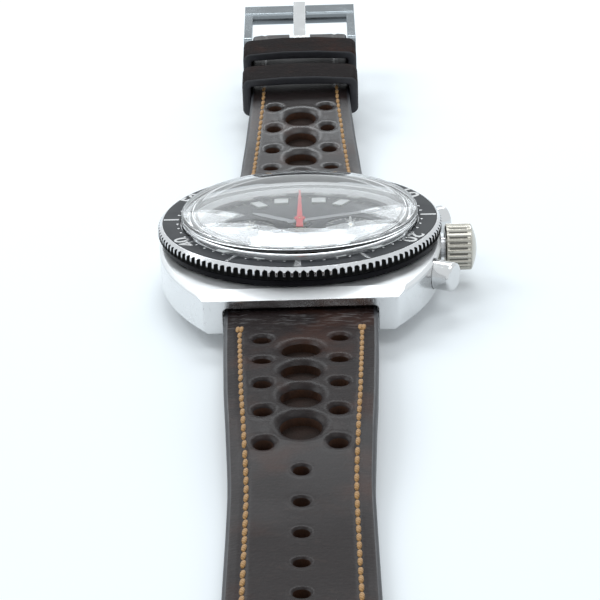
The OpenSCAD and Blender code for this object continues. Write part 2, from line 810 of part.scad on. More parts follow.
module fourth_wheel() color("gold")
    at(fourth_p) {
        translate([0, 0, level_c - 0.05]) linear_extrude(wheel_t + 0.1)
            pinion(fourth_pinion_n, train_m, dir(fourth_p, third_p) + 180 / fourth_pinion_n, 0.1);
        translate([0, 0, level_b]) linear_extrude(wheel_t)
            wheel(fourth_n, escape_m, escape_a, 0.35, 4, 0.6, 0.1);
        translate([0, 0, chrono_z]) linear_extrude(wheel_t) wheel(small_n, small_m, 0, 0.3, 3, 0.5, 0.1);
        long_arbor(sub_hand_z + hand_t);
    }

// Club teeth lean the way the wheel turns
module escape_wheel() color("gold") {
    n = 15;
    at(escape_p) {
        translate([0, 0, level_c]) linear_extrude(wheel_t) difference() {
            polygon([for (i = [0:n - 1]) for (c = [[1.3, -0.1], [1.85, 0.12], [1.85, 0.26], [1.3, 0.3]])
                polar(c[0], (i + c[1]) * 360 / n)]);
            difference() {
                circle(r = 1.1, $fn = fine);
                circle(r = 0.4, $fn = fine);
                for (i = [0:3]) rotate(i * 90) translate([0, -0.12]) square([1.2, 0.24]);
            }
        }
        translate([0, 0, level_b - 0.05]) linear_extrude(wheel_t + 0.1)
            pinion(escape_pinion_n, escape_m, escape_a + 180 + 180 / escape_pinion_n, 0.05);
        arbor(bridge_top + face, plate_z - face, 0.6, 0.6);
    }
}

module pallet_fork() color("silver") {
    reach = norm(balance_p - pallet_p) - 0.95;
    turn = dir(pallet_p, balance_p);
    at(pallet_p) {
        translate([0, 0, level_c]) linear_extrude(wheel_t) rotate(turn) {
            link([0, 0], [reach - 0.3, 0], 0.3, 0.18);
            for (s = [-1, 1]) {
                link([reach - 0.35, s * 0.05], [reach - 0.12, s * 0.28], 0.12, 0.1);
                link([0, 0], [-0.35, s * 1.5], 0.3, 0.14);
            }
        }
        arbor(bridge_top + face, plate_z - face, 0.6, 0.6);
    }
}

module balance_wheel() color("gold")
    at(balance_p) {
        translate([0, 0, level_b]) linear_extrude(0.35) {
            difference() {
                circle(r = balance_r, $fn = 64);
                circle(r = balance_r - 0.55, $fn = 64);
            }
            rotate(30) square([2 * balance_r - 0.6, 2 * staff_r + 0.2], center = true);
        }
        translate([0, 0, level_c + 0.25]) cylinder(r = 0.9, h = 0.1, $fn = fine);
        rotate([0, 0, dir(balance_p, pallet_p)]) translate([0.7, 0, level_c])
            cylinder(d = 0.2, h = 0.3, $fn = 16);
        translate([0, 0, bridge_top + face])
            cylinder(r = staff_r, h = plate_z - bridge_top - 2 * face, $fn = fine);
        translate([0, 0, bridge_top - 0.6])
            cylinder(d = pivot_d, h = plate_z - bridge_top + 1.2, $fn = fine);
    }

// Flat spiral of five coils round the balance staff
module hairspring() color("steelblue") {
    turns = 5;
    steps = 20;
    r0 = 0.5;
    pitch = 0.4;
    half_t = 0.05;
    edge = function(i, out) polar(r0 + pitch * i / steps + out, i * 360 / steps);
    at(balance_p) translate([0, 0, bridge_top + 0.1]) {
        difference() {
            cylinder(r = r0 + 0.15, h = 0.2, $fn = fine);
            translate([0, 0, -eps]) cylinder(r = staff_r + seat, h = 1, $fn = fine);
        }
        linear_extrude(0.16) polygon(concat(
            [for (i = [0:turns * steps]) edge(i, -half_t)],
            [for (i = [turns * steps:-1:0]) edge(i, half_t)]
        ));
    }
}
staff_r = 0.25;

// Motion work under the dial

module cannon_pinion() color("silver") {
    low = plate_top + 0.08;
    difference() {
        union() {
            translate([0, 0, low]) linear_extrude(0.27) pinion(cannon_n, cannon_m, 90 + 180 / cannon_n, 0.2);
            translate([0, 0, low]) cylinder(r = cannon_pipe_r, h = minute_hand_z + hand_t - low, $fn = fine);
        }
        translate([0, 0, plate_top - 1]) cylinder(r = centre_r + run, h = 12, $fn = fine);
    }
}

module minute_wheel() color("gold") {
    low = plate_top + 0.12;
    at(minute_p) difference() {
        union() {
            translate([0, 0, low]) linear_extrude(wheel_t) wheel(minute_n, cannon_m, -90, 0.4, 3, 0.85, 0.1);
            translate([0, 0, low]) linear_extrude(motion_h - 0.22)
                pinion(minute_pinion_n, hour_m, -90 + 180 / minute_pinion_n, 0.1);
        }
        cylinder(r = post_r + run, h = 20, $fn = fine);
    }
}

module hour_wheel() color("gold") {
    low = plate_top + 0.4;
    difference() {
        union() {
            translate([0, 0, low]) linear_extrude(wheel_t) wheel(hour_n, hour_m, 90, 0.4, 3, 1.4, 0.5);
            translate([0, 0, low]) cylinder(r = hour_pipe_r, h = hour_hand_z + hand_t - low, $fn = fine);
        }
        translate([0, 0, plate_top - 1]) cylinder(r = cannon_pipe_r + run, h = 12, $fn = fine);
    }
}

// Chronograph wheels, behind the bridges

// Arbor that reaches from behind the bridges up to a hand
module long_arbor(top) {
    translate([0, 0, chrono_z - 0.1]) cylinder(d = arbor_d, h = top - chrono_z + 0.1, $fn = fine);
}

module chrono_pivot() {
    translate([0, 0, chrono_bridge_z]) cylinder(d = pivot_d, h = chrono_z - chrono_bridge_z, $fn = fine);
}

module sweep_wheel() color("gold") {
    translate([0, 0, chrono_z]) linear_extrude(wheel_t) wheel(sweep_n, train_m, 0, 0.4, 6, 0.7, 0.1);
    long_arbor(sweep_hand_z + hand_t);
    chrono_pivot();
}

module counter_wheel() color("gold")
    at(counter_p) {
        translate([0, 0, chrono_z]) linear_extrude(wheel_t) wheel(counter_n, train_m, 0, 0.4, 4, 0.6, 0.1);
        long_arbor(sub_hand_z + hand_t);
        chrono_pivot();
    }

// Crown

tube_r = 1.45;
tube_bore_r = 0.9;
crown_x = control_seat + crown_gap;
tube_end = crown_x + 1.5;
crown_cave_r = 2;
crown_cave_l = 2;

module along_x(x) translate([x, 0, control_z]) rotate([0, 90, 0]) children();

module crown_tube() color("silver")
    along_x(bore_r + 0.1) difference() {
        cylinder(r = tube_r, h = tube_end - bore_r - 0.1, $fn = fine);
        translate([0, 0, -1]) cylinder(r = tube_bore_r, h = big, $fn = fine);
    }

module crown_gasket() color("black")
    along_x(crown_x + 0.7) difference() {
        cylinder(r = crown_cave_r - run, h = 0.6, $fn = fine);
        translate([0, 0, -1]) cylinder(r = tube_r + run, h = 3, $fn = fine);
    }

// Coarse rounded flutes between two plain lands, and a domed end
module crown() color("wheat") {
    R = crown_d / 2;
    cut_r = 0.3;
    edge = 0.1;
    n = 8;
    along_x(crown_x) difference() {
        rotate_extrude($fn = 64) polygon(concat(
            [[0, crown_cave_l], [crown_cave_r, crown_cave_l], [crown_cave_r, 0],
             [R - 0.3, 0], [R, 0.2], [R, crown_l]],
            [for (i = [n:-1:0])
                [(R - edge) * i / n, crown_l + edge + (crown_dome - edge) * (1 - pow(i / n, 2))]]
        ));
        for (i = [0:crown_n - 1]) rotate([0, 0, i * 360 / crown_n])
            translate([R + 0.12, 0, 0.25]) cylinder(r = cut_r, h = crown_l - 0.35, $fn = 16);
        translate([0, 0, 1]) cylinder(d = stem_d + 2 * seat, h = crown_cave_l + 0.2, $fn = fine);
    }
}

module winding_stem() color("silver") {
    along_x(stem_x) cylinder(d = stem_d, h = crown_x + crown_cave_l + 1 - stem_x, $fn = fine);
    along_x(pinion_x) difference() {
        cylinder(r = stem_pinion_r, h = stem_pinion_l, $fn = fine);
        for (i = [0:11]) rotate([0, 0, i * 30])
            translate([stem_pinion_r + 0.05, 0, -eps]) cylinder(r = 0.18, h = 1, $fn = 16);
    }
}

// Pushers

push_tube_r = 1.3;
push_stem_r = 0.8;
push_run = 0.08;
push_seat_r = control_seat + 1;
cap_in = push_seat_r - 0.75;
cap_end = push_seat_r + push_out;
cap_cave_r = push_d / 2 - 0.5;
cap_cave_l = 1.9;
push_floor = cap_in - push_travel - 0.25;

module pusher_tubes() color("silver")
    for (a = [-push_a, push_a]) at_pusher(a) difference() {
        translate([0, 0, bore_r + 0.1]) cylinder(r = push_tube_r, h = push_floor - bore_r - 0.1, $fn = fine);
        cylinder(r = push_stem_r + run, h = big, $fn = fine);
    }

module pusher(a)
    at_pusher(a) difference() {
        union() {
            rotate_extrude($fn = 48) polygon([
                [0, cap_in], [push_d / 2, cap_in], [push_d / 2, cap_end - 0.4],
                [push_d / 2 - 0.12, cap_end - 0.12], [push_d / 2 - 0.4, cap_end], [0, cap_end]
            ]);
            translate([0, 0, bore_r - 0.05]) cylinder(r = push_stem_r, h = cap_in - bore_r + 1, $fn = fine);
        }
        translate([0, 0, cap_in - eps]) difference() {
            cylinder(r = cap_cave_r, h = cap_cave_l, $fn = fine);
            cylinder(r = push_stem_r, h = cap_cave_l, $fn = fine);
        }
    }

module start_pusher() color("silver") pusher(push_a);
module reset_pusher() color("silver") pusher(-push_a);

// Return spring: stacked rings on a thin sleeve
module pusher_spring(a)
    at_pusher(a) {
        length = cap_in + cap_cave_l - face - push_floor;
        wire_r = 0.12;
        rings = 4;
        translate([0, 0, push_floor]) difference() {
            cylinder(r = 1.15, h = length, $fn = fine);
            translate([0, 0, -1]) cylinder(r = push_stem_r + run, h = length + 2, $fn = fine);
        }
        for (i = [0:rings - 1])
            translate([0, 0, push_floor + wire_r + i * (length - 2 * wire_r) / (rings - 1)])
                rotate_extrude($fn = fine) translate([1.2, 0]) circle(r = wire_r, $fn = 16);
    }

module start_spring() color("gray") pusher_spring(push_a);
module reset_spring() color("gray") pusher_spring(-push_a);

// Spring bars

tip_d = 0.8;
tip_l = 0.8;

module spring_bars() color("silver")
    for (s = [-1, 1]) translate([0, s * bar_y, bar_z]) rotate([0, 90, 0]) {
        cylinder(d = bar_d, h = recess_w - 0.2, center = true, $fn = fine);
        cylinder(d = tip_d, h = recess_w + 2 * tip_l, center = true, $fn = fine);
    }

// Strap

// Smooth curve through stations [distance, value] that never overshoots them
function slope(st, i) =
    (i <= 0 || i >= len(st) - 1) ? 0 :
    let (a = (st[i][1] - st[i - 1][1]) / (st[i][0] - st[i - 1][0]),
         b = (st[i + 1][1] - st[i][1]) / (st[i + 1][0] - st[i][0]))
    a * b <= 0 ? 0 : 2 * a * b / (a + b);
function span(st, s, i = 0) = (i >= len(st) - 2 || s < st[i + 1][0]) ? i : span(st, s, i + 1);
function curve(st, s) =
    let (i = span(st, s), h = st[i + 1][0] - st[i][0], t = min(1, max(0, (s - st[i][0]) / h)),
         a = st[i][1], b = st[i + 1][1], ma = slope(st, i) * h, mb = slope(st, i + 1) * h)
    (2 * t * t * t - 3 * t * t + 1) * a + (t * t * t - 2 * t * t + t) * ma
    + (3 * t * t - 2 * t * t * t) * b + (t * t * t - t * t) * mb;

loop_r = pad_t / 2 + 0.05;
strap_top = bar_z + loop_r;
strap_w = lug_w;
// Heights of the top face over the table, by distance from the spring bar
long_top = [
    [0, strap_top], [11, 4.85], [23, 5.3], [33, 5], [40, 4.25],
    [51, thin_t + 0.5], [60, thin_t], [140, thin_t]
];
short_top = [[0, strap_top], [5, 4.9], [12, 4.45], [23, 3], [28, 3.35], [45, 6.05], [51, 6.9], [80, 11.1]];
long_thick = [[0, pad_t + 0.1], [11, pad_t - 0.1], [33, 2.7], [51, thin_t], [140, thin_t]];
short_thick = [[0, pad_t + 0.1], [11, pad_t - 0.2], [18, 3], [28, 3], [45, thin_t], [80, thin_t]];
widths = [[0, strap_w], [26, 18.6], [37, 17.5], [52, tail_w], [140, tail_w]];

function stops(a, b, step) = concat([for (s = [a:step:b - step / 2]) s], [b]);

// Side view of one leather layer between two depths below the top face
module layer(a, b, top, from, to) {
    ss = stops(a, b, 2);
    polygon(concat(
        [for (s = ss) [s, curve(top, s) - from(s)]],
        backwards([for (s = ss) [s, curve(top, s) - to(s)]])
    ));
}

// Edge of the strap on one side, from the bar to distance l, running along +X
function edge_pts(l, side) = [for (s = stops(0, l, 4)) [s, side * curve(widths, s) / 2]];
function backwards(pts) = [for (i = [len(pts) - 1:-1:0]) pts[i]];

module strap_plan(l) polygon(concat(edge_pts(l, 1), backwards(edge_pts(l, -1))));

// The long half ends in a rounded point: an arc of end_a degrees on each side, squashed to end_l
end_l = 9;
end_a = 72;
end_half_w = 1.2;
module long_plan() {
    n = 8;
    flank = [for (i = [1:n]) let (a = end_a * i / n, fall = (1 - cos(a)) / (1 - cos(end_a)))
        [long_l - end_l * (1 - sin(a) / sin(end_a)), tail_w / 2 - (tail_w / 2 - end_half_w) * fall]];
    polygon(concat(
        edge_pts(long_l - end_l, 1), flank,
        backwards([for (p = flank) [p[0], -p[1]]]), backwards(edge_pts(long_l - end_l, -1))
    ));
}

// Turns the drawing plane so that x runs along the strap and y becomes height
module side_on(w) rotate([90, 0, 0]) translate([0, 0, -w / 2]) linear_extrude(w) children();

// Places a half that is drawn along +X: the long one runs to -Y, the short one to +Y
module long_place() translate([0, -bar_y, 0]) rotate([0, 0, -90]) children();
module short_place() translate([0, bar_y, 0]) rotate([0, 0, 90]) children();

perf_start = 11.2;
perf_pairs = 5;
adjust_start = 45.8;

module perforations(start) {
    for (i = [0:perf_pairs - 1]) for (side = [-1, 1]) {
        s = start + i * perf_pitch;
        translate([s, side * perf_x * curve(widths, s) / widths[1][1], -1])
            cylinder(d = perf_small_d, h = 20, $fn = fine);
    }
    for (i = [0:perf_pairs - 2])
        translate([start + (i + 0.5) * perf_pitch, 0, -1]) cylinder(d = perf_big_d, h = 20, $fn = 48);
}

module adjusting_holes() {
    for (i = [0:adjust_n - 1]) translate([adjust_start + i * adjust_pitch, 0, -1])
        cylinder(d = adjust_d, h = 20, $fn = fine);
}

module cross_bore(s, z, d)
    translate([s, 0, z]) rotate([90, 0, 0]) cylinder(d = d, h = 40, center = true, $fn = fine);

// The upper leather wraps the spring bar and carries the perforations
module long_upper() color([0.24, 0.15, 0.12])
    long_place() difference() {
        union() {
            intersection() {
                side_on(40) layer(0, long_l, long_top, function(s) 0, function(s) upper_t);
                translate([0, 0, -1]) linear_extrude(20) long_plan();
            }
            intersection() {
                cross_bore(0, bar_z, 2 * loop_r);
                cube([20, strap_w, 20], center = true);
            }
        }
        cross_bore(0, bar_z, bar_d + 2 * bar_run);
        perforations(perf_start);
        adjusting_holes();
    }

bar_run = 0.08;

module long_lining() color([0.35, 0.2, 0.12])
    long_place() difference() {
        intersection() {
            side_on(40) layer(0, long_l, long_top, function(s) upper_t, function(s) curve(long_thick, s));
            translate([0, 0, -1]) linear_extrude(20) long_plan();
        }
        cross_bore(0, bar_z, 2 * loop_r);
        adjusting_holes();
    }

// Buckle end of the short half
buckle_tilt = 8.2;
loop_end_r = thin_t / 2 + 0.3;
buckle_z = curve(short_top, short_l) - loop_end_r;
tongue_slot_l = 7;
short_perf_start = 16.3;

module short_upper() color([0.24, 0.15, 0.12])
    short_place() difference() {
        union() {
            intersection() {
                side_on(40) layer(0, short_l, short_top, function(s) 0, function(s) upper_t);
                translate([0, 0, -1]) linear_extrude(20) strap_plan(short_l);
            }
            intersection() {
                cross_bore(0, bar_z, 2 * loop_r);
                cube([20, strap_w, 20], center = true);
            }
            intersection() {
                cross_bore(short_l, buckle_z, 2 * loop_end_r);
                translate([short_l, 0, buckle_z]) cube([20, tail_w, 20], center = true);
            }
        }
        cross_bore(0, bar_z, bar_d + 2 * bar_run);
        cross_bore(short_l, buckle_z, buckle_bar_d + 2 * seat);
        perforations(short_perf_start);
        tongue_slot();
    }

module tongue_slot()
    translate([short_l - tongue_slot_l / 2 + 2, 0, 10])
        cube([tongue_slot_l, tongue_w + 1.2, 30], center = true);

module short_lining() color([0.35, 0.2, 0.12])
    short_place() difference() {
        intersection() {
            side_on(40) layer(0, short_l, short_top, function(s) upper_t, function(s) curve(short_thick, s));
            translate([0, 0, -1]) linear_extrude(20) strap_plan(short_l);
        }
        cross_bore(0, bar_z, 2 * loop_r);
        cross_bore(short_l, buckle_z, 2 * loop_end_r);
        tongue_slot();
    }

// Keepers: flat leather bands round the strap with room for the tail above it
keeper_clear = 0.15;
fixed_s = short_l - 12.7;
free_s = fixed_s - 9.6;

module keeper(s) {
    z = curve(short_top, s + keeper_l / 2);
    w = curve(widths, s) + 2 * keeper_clear;
    low = thin_t + keeper_clear + 0.25;
    tilt = atan2(curve(short_top, s + keeper_l) - curve(short_top, s), keeper_l);
    short_place() translate([s + keeper_l / 2, 0, z]) rotate([0, -tilt, 0])
        rotate([90, 0, 90]) translate([0, 0, -keeper_l / 2]) linear_extrude(keeper_l)
            difference() {
                rounded(w + 2 * keeper_t, low + keeper_room + 2 * keeper_t, -low - keeper_t, 1.2);
                rounded(w, low + keeper_room, -low, 0.4);
            }
}

// Rectangle of width w from height y up by h, with corners of radius r
module rounded(w, h, y, r) {
    translate([-w / 2, y + r]) square([w, h - 2 * r]);
    translate([-w / 2 + r, y]) square([w - 2 * r, h]);
    for (x = [-w / 2 + r, w / 2 - r]) for (v = [y + r, y + h - r])
        translate([x, v]) circle(r = r, $fn = fine);
}

module fixed_keeper() color([0.2, 0.13, 0.1]) keeper(fixed_s);
module free_keeper() color([0.2, 0.13, 0.1]) keeper(free_s);

// Buckle, drawn from its bar along +X, tilted with the strap's end
module buckle_place()
    short_place() translate([short_l, 0, buckle_z]) rotate([0, -buckle_tilt, 0]) children();

frame_in_w = tail_w + 0.4;
arm_t = 1.4;
arm_h = 1.8;
arm_eye_r = 1.35;

module across(r, l) rotate([90, 0, 0]) cylinder(r = r, h = l, center = true, $fn = fine);

module buckle_bar() color("silver")
    buckle_place() {
        across(buckle_bar_d / 2, tail_w + 0.2);
        across(tip_d / 2, frame_in_w + arm_t);
    }

rail_back = frame_reach - frame_rail_w + frame_d;  // axis of the rail's rounded edge on the bar's side
tongue_sink = 0.2;                                 // how far the tongue lies in the rail's top

// Two arms and a broad front rail, with a notch where the tongue rests
module buckle_frame() color("silver")
    buckle_place() difference() {
        union() {
            for (s = [-1, 1]) translate([0, s * (frame_in_w + arm_t) / 2, 0]) {
                across(arm_eye_r, arm_t);
                translate([0, -arm_t / 2, -arm_h / 2]) cube([frame_reach, arm_t, arm_h]);
            }
            hull() for (x = [rail_back, frame_reach])
                translate([x, 0, 0]) across(frame_d / 2, frame_in_w + 2 * arm_t);
        }
        across(tip_d / 2 + run, frame_in_w + arm_t + 0.2);
        translate([(rail_back + frame_reach) / 2, 0, frame_d / 2])
            cube([frame_rail_w + 2, tongue_w + 0.3, 2 * (tongue_sink + face)], center = true);
    }

// An eye on the bar and a blade that lies in the front rail's notch
module buckle_tongue() color("silver") {
    eye_r = buckle_bar_d / 2 + 0.7;
    rest = frame_d / 2 - tongue_sink;
    buckle_place() difference() {
        union() {
            across(eye_r, tongue_w);
            side_on(tongue_w) polygon([
                [0, 0.3], [0, eye_r], [4, rest + tongue_t - 0.3], [frame_reach, rest + tongue_t],
                [frame_reach + 0.9, rest - 0.2], [frame_reach + 0.6, rest],
                [rail_back - frame_d / 2 - 0.5, rest], [4, rest - 0.3]
            ]);
        }
        across(buckle_bar_d / 2 + run, 10);
    }
}

mid_case();
case_back();
back_gasket();
friction_ring();
bezel_wire();
bezel_ring();
bezel_insert();
crystal();
crystal_ring();
dial_flange();
dial();
hour_markers();
hour_hand();
minute_hand();
sweep_hand();
seconds_hand();
counter_hand();
movement_ring();
mainplate();
barrel_bridge();
train_bridge();
balance_cock();
chronograph_bridge();
plate_screws();
barrel();
ratchet_wheel();
centre_wheel();
third_wheel();
fourth_wheel();
escape_wheel();
pallet_fork();
balance_wheel();
hairspring();
cannon_pinion();
minute_wheel();
hour_wheel();
sweep_wheel();
counter_wheel();
crown_tube();
crown_gasket();
crown();
winding_stem();
pusher_tubes();
start_pusher();
start_spring();
reset_pusher();
reset_spring();
spring_bars();
long_upper();
long_lining();
short_upper();
short_lining();
fixed_keeper();
free_keeper();
buckle_bar();
buckle_frame();
buckle_tongue();
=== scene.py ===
"""Dresses the model of a chronograph wristwatch: finishes, strap leather, stitching, crystal, printing.

Sizes are in millimetres unless a name says otherwise, and MM turns them into Blender's metres.
In the model's frame +Z points out through the crystal, +X to the crown and +Y to 12 on the dial.
"""

from __future__ import annotations

import logging
import math
from contextlib import contextmanager
from dataclasses import dataclass
from enum import Enum
from typing import Callable, Iterator, Sequence, Union

import bmesh
import bpy
from mathutils import Matrix, Vector, noise

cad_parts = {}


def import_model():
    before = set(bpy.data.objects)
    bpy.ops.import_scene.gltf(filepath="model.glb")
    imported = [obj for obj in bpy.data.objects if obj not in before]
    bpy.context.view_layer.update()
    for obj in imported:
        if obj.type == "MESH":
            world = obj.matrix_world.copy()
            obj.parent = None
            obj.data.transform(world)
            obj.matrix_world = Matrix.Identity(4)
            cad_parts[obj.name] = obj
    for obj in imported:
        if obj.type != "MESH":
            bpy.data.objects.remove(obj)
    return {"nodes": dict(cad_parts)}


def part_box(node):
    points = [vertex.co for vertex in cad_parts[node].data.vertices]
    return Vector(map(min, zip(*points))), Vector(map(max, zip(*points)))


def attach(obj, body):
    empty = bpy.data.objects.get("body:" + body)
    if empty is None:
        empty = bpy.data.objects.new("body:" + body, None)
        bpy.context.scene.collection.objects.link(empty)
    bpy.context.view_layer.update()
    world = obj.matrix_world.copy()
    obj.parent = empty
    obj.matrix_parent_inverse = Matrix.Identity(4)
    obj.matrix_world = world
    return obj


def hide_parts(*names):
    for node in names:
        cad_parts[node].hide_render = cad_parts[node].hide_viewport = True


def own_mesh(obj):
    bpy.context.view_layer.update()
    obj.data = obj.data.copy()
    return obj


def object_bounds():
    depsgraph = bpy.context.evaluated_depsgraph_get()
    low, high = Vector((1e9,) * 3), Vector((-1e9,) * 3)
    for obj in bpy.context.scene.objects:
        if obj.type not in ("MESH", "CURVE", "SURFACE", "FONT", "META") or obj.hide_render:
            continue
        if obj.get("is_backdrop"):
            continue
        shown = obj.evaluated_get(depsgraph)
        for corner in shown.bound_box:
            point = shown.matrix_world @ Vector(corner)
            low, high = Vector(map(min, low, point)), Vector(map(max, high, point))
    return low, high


MM = 0.001
WELD = 1e-6
log = logging.getLogger("watch")

Colour = tuple[float, float, float]
Place = tuple[float, float, float]
Points = list[tuple[float, float]]
Piece = bpy.types.Object
Stops = tuple[tuple[float, float], ...]
Value = Union["Sock", float, Sequence[float]]


# Shader maths


class Sock:
    """An output of a shader node that can be used in sums, products and comparisons."""

    def __init__(self, graph: "Graph", owner: bpy.types.Node, out: int | str = 0) -> None:
        """Keeps the output named or numbered out of the node owner.

        Args:
            graph: the node tree's graph.
            owner: the node.
            out: name or number of its output.
        """
        self.graph = graph
        self.owner = owner
        self.socket = owner.outputs[out]

    def out(self, name: int | str) -> "Sock":
        """Another output of the same node."""
        return Sock(self.graph, self.owner, name)

    def _math(self, operation: str, first: Value, second: Value = 0.0) -> "Sock":
        """One Math node on two values."""
        return self.graph.node("ShaderNodeMath", {"operation": operation}, {0: first, 1: second})

    def __add__(self, other: Value) -> "Sock":
        """The sum."""
        return self._math("ADD", self, other)

    def __radd__(self, other: Value) -> "Sock":
        """The sum, with a number first."""
        return self._math("ADD", other, self)

    def __sub__(self, other: Value) -> "Sock":
        """The difference."""
        return self._math("SUBTRACT", self, other)

    def __rsub__(self, other: Value) -> "Sock":
        """The difference, with a number first."""
        return self._math("SUBTRACT", other, self)

    def __mul__(self, other: Value) -> "Sock":
        """The product."""
        return self._math("MULTIPLY", self, other)

    def __rmul__(self, other: Value) -> "Sock":
        """The product, with a number first."""
        return self._math("MULTIPLY", other, self)

    def above(self, low: float) -> "Sock":
        """This value, or low where it is less."""
        return self._math("MAXIMUM", self, low)

    def wave(self, turns: float) -> "Sock":
        """A sine of this value with so many radians to the unit, from 0 to 1."""
        return 0.5 + 0.5 * self._math("SINE", self * turns)

    def step(self, low: float, high: float) -> "Sock":
        """A smooth step that is 0 up to low and 1 from high on.

        Args:
            low: value where the step starts.
            high: value where the step ends; below low, the step falls.

        Returns:
            The step's socket.
        """
        rising = low < high
        ends = {1: low, 2: high, 3: 0.0, 4: 1.0} if rising else {1: high, 2: low, 3: 1.0, 4: 0.0}
        settings = {"interpolation_type": "SMOOTHSTEP"}
        return self.graph.node("ShaderNodeMapRange", settings, {0: self, **ends})


class Graph:
    """Node tree of one material or world."""

    def __init__(self, tree: bpy.types.NodeTree) -> None:
        """Empties the tree and keeps it."""
        self.tree = tree
        tree.nodes.clear()

    def node(
        self, kind: str, settings: dict | None = None, values: dict | None = None, out: int | str = 0
    ) -> Sock:
        """Adds a node.

        Args:
            kind: the node's type.
            settings: properties to set first; stops is a list of ramp places and colours.
            values: numbers or sockets for the inputs, by name or number.
            out: the output that is returned.

        Returns:
            The chosen output.
        """
        made = self.tree.nodes.new(kind)
        for name, setting in (settings or {}).items():
            if name == "stops":
                self._ramp(made, setting)
            else:
                setattr(made, name, setting)
        for name, value in (values or {}).items():
            if isinstance(value, Sock):
                self.tree.links.new(value.socket, made.inputs[name])
            else:
                made.inputs[name].default_value = value
        return Sock(self, made, out) if made.outputs else None

    @staticmethod
    def _ramp(made: bpy.types.Node, stops: Sequence[tuple[float, Sequence[float]]]) -> None:
        """Writes the stops of a colour ramp.

        Args:
            made: the ramp's node.
            stops: places from 0 to 1 with their colours.
        """
        points = made.color_ramp.elements
        for number, (place, colour) in enumerate(stops):
            point = points[number] if number < 2 else points.new(place)
            point.position = place
            point.color = (*colour, 1.0)

    def place(self, scale: Sequence[float] = (1, 1, 1), turn: float = 0.0) -> Sock:
        """Object coordinates, scaled and turned about Z.

        Args:
            scale: factors along x, y and z.
            turn: angle in radians.

        Returns:
            The coordinates.
        """
        here = self.node("ShaderNodeTexCoord", out="Object")
        if tuple(scale) == (1, 1, 1) and turn == 0.0:
            return here
        values = {"Vector": here, "Rotation": (0, 0, turn), "Scale": scale}
        return self.node("ShaderNodeMapping", None, values)

    def axis(self, number: int, turn: float = 0.0) -> Sock:
        """The coordinate along x, y or z, which are 0 to 2, in metres and after a turn about Z."""
        return self.node("ShaderNodeSeparateXYZ", None, {0: self.place(turn=turn)}, number)

    def away(self, middle: Sequence[float], axes: Sequence[float]) -> Sock:
        """Distance in metres from a middle, along the chosen axes only.

        Args:
            middle: the middle, in metres.
            axes: 1 for each axis that counts, otherwise 0.

        Returns:
            The distance.
        """
        kind = "ShaderNodeVectorMath"
        flat = self.node(kind, {"operation": "MULTIPLY"}, {0: self.place(), 1: axes})
        return self.node(kind, {"operation": "DISTANCE"}, {0: flat, 1: middle}, "Value")

    def blend(self, share: Value, first: Value, second: Value) -> Sock:
        """A colour between two colours."""
        low, high = (c if isinstance(c, Sock) else (*c, 1.0) for c in (first, second))
        return self.node("ShaderNodeMix", {"data_type": "RGBA"}, {0: share, 6: low, 7: high}, 2)

    def bump(self, height: Value, depth: float, strength: float, normal: Sock | None) -> Sock:
        """A normal from a height of 0 to 1 that stands for depth millimetres.

        Args:
            height: the height, from 0 to 1.
            depth: what it stands for, in millimetres.
            strength: the bump's strength.
            normal: the normal that it is added to, if any.

        Returns:
            The normal.
        """
        values = {"Strength": strength, "Distance": depth * MM, "Height": height}
        if normal is not None:
            values["Normal"] = normal
        return self.node("ShaderNodeBump", None, values)

    def round_edge(self, radius: float) -> Sock:
        """The normal of a surface whose edges are rounded by radius millimetres."""
        return self.node("ShaderNodeBevel", {"samples": 4}, {"Radius": radius * MM})


# Finishes


@dataclass(frozen=True)
class Pattern:
    """Noise on a surface, with about per_mm lumps to the millimetre, or cells with a Voronoi feature.

    Stretch and turn act on the coordinates, so a high number squeezes the lumps along its axis. Between
    the two values of cut, the pattern rises smoothly from 0 to 1.
    """

    per_mm: float
    detail: float = 3.0
    rough: float = 0.5
    stretch: Place = (1, 1, 1)
    turn: float = 0.0
    twist: float = 0.0
    cut: tuple[float, float] | None = None
    cells: str = ""

    def on(self, g: Graph) -> Sock:
        """The pattern's nodes.

        Args:
            g: the node tree that they go into.

        Returns:
            The pattern's value.
        """
        values = {"Vector": g.place(self.stretch, self.turn), "Scale": self.per_mm / MM}
        if self.cells:
            made = g.node("ShaderNodeTexVoronoi", {"feature": self.cells}, values)
        else:
            values.update({"Detail": self.detail, "Roughness": self.rough, "Distortion": self.twist})
            made = g.node("ShaderNodeTexNoise", None, values)
        return made.step(*self.cut) if self.cut else made


@dataclass(frozen=True)
class Finish:
    """A finish: subclasses say what feeds the shader's sockets.

    Relief is the height in millimetres that its bump stands for, and strength the bump's strength.
    """

    name: str
    colour: Colour
    roughness: float = 0.4
    metallic: float = 0.0
    relief: float = 0.02
    strength: float = 0.6

    def shade(self, share: float) -> Colour:
        """The colour, darker or lighter by a share."""
        return tuple(c * share for c in self.colour)

    def bump(self, g: Graph, height: Value, edge: float = 0.0) -> Sock:
        """The normal from a height of 0 to 1, on edges rounded by so many millimetres."""
        return g.bump(height, self.relief, self.strength, g.round_edge(edge) if edge else None)

    def sockets(self, g: Graph) -> dict[str, Value]:
        """What goes into the main shader besides colour, roughness and metallic."""
        return {}

    def material(self) -> bpy.types.Material:
        """Makes the material.

        Returns:
            The material with its node tree built.
        """
        made = bpy.data.materials.new(self.name)
        made.use_nodes = True
        g = Graph(made.node_tree)
        plain = {"Base Color": (*self.colour, 1.0), "Roughness": self.roughness}
        values = {**plain, "Metallic": self.metallic, **self.sockets(g)}
        shader = g.node("ShaderNodeBsdfPrincipled", None, values)
        g.node("ShaderNodeOutputMaterial", None, {"Surface": shader})
        made.diffuse_color = (*self.colour, 1.0)
        return made


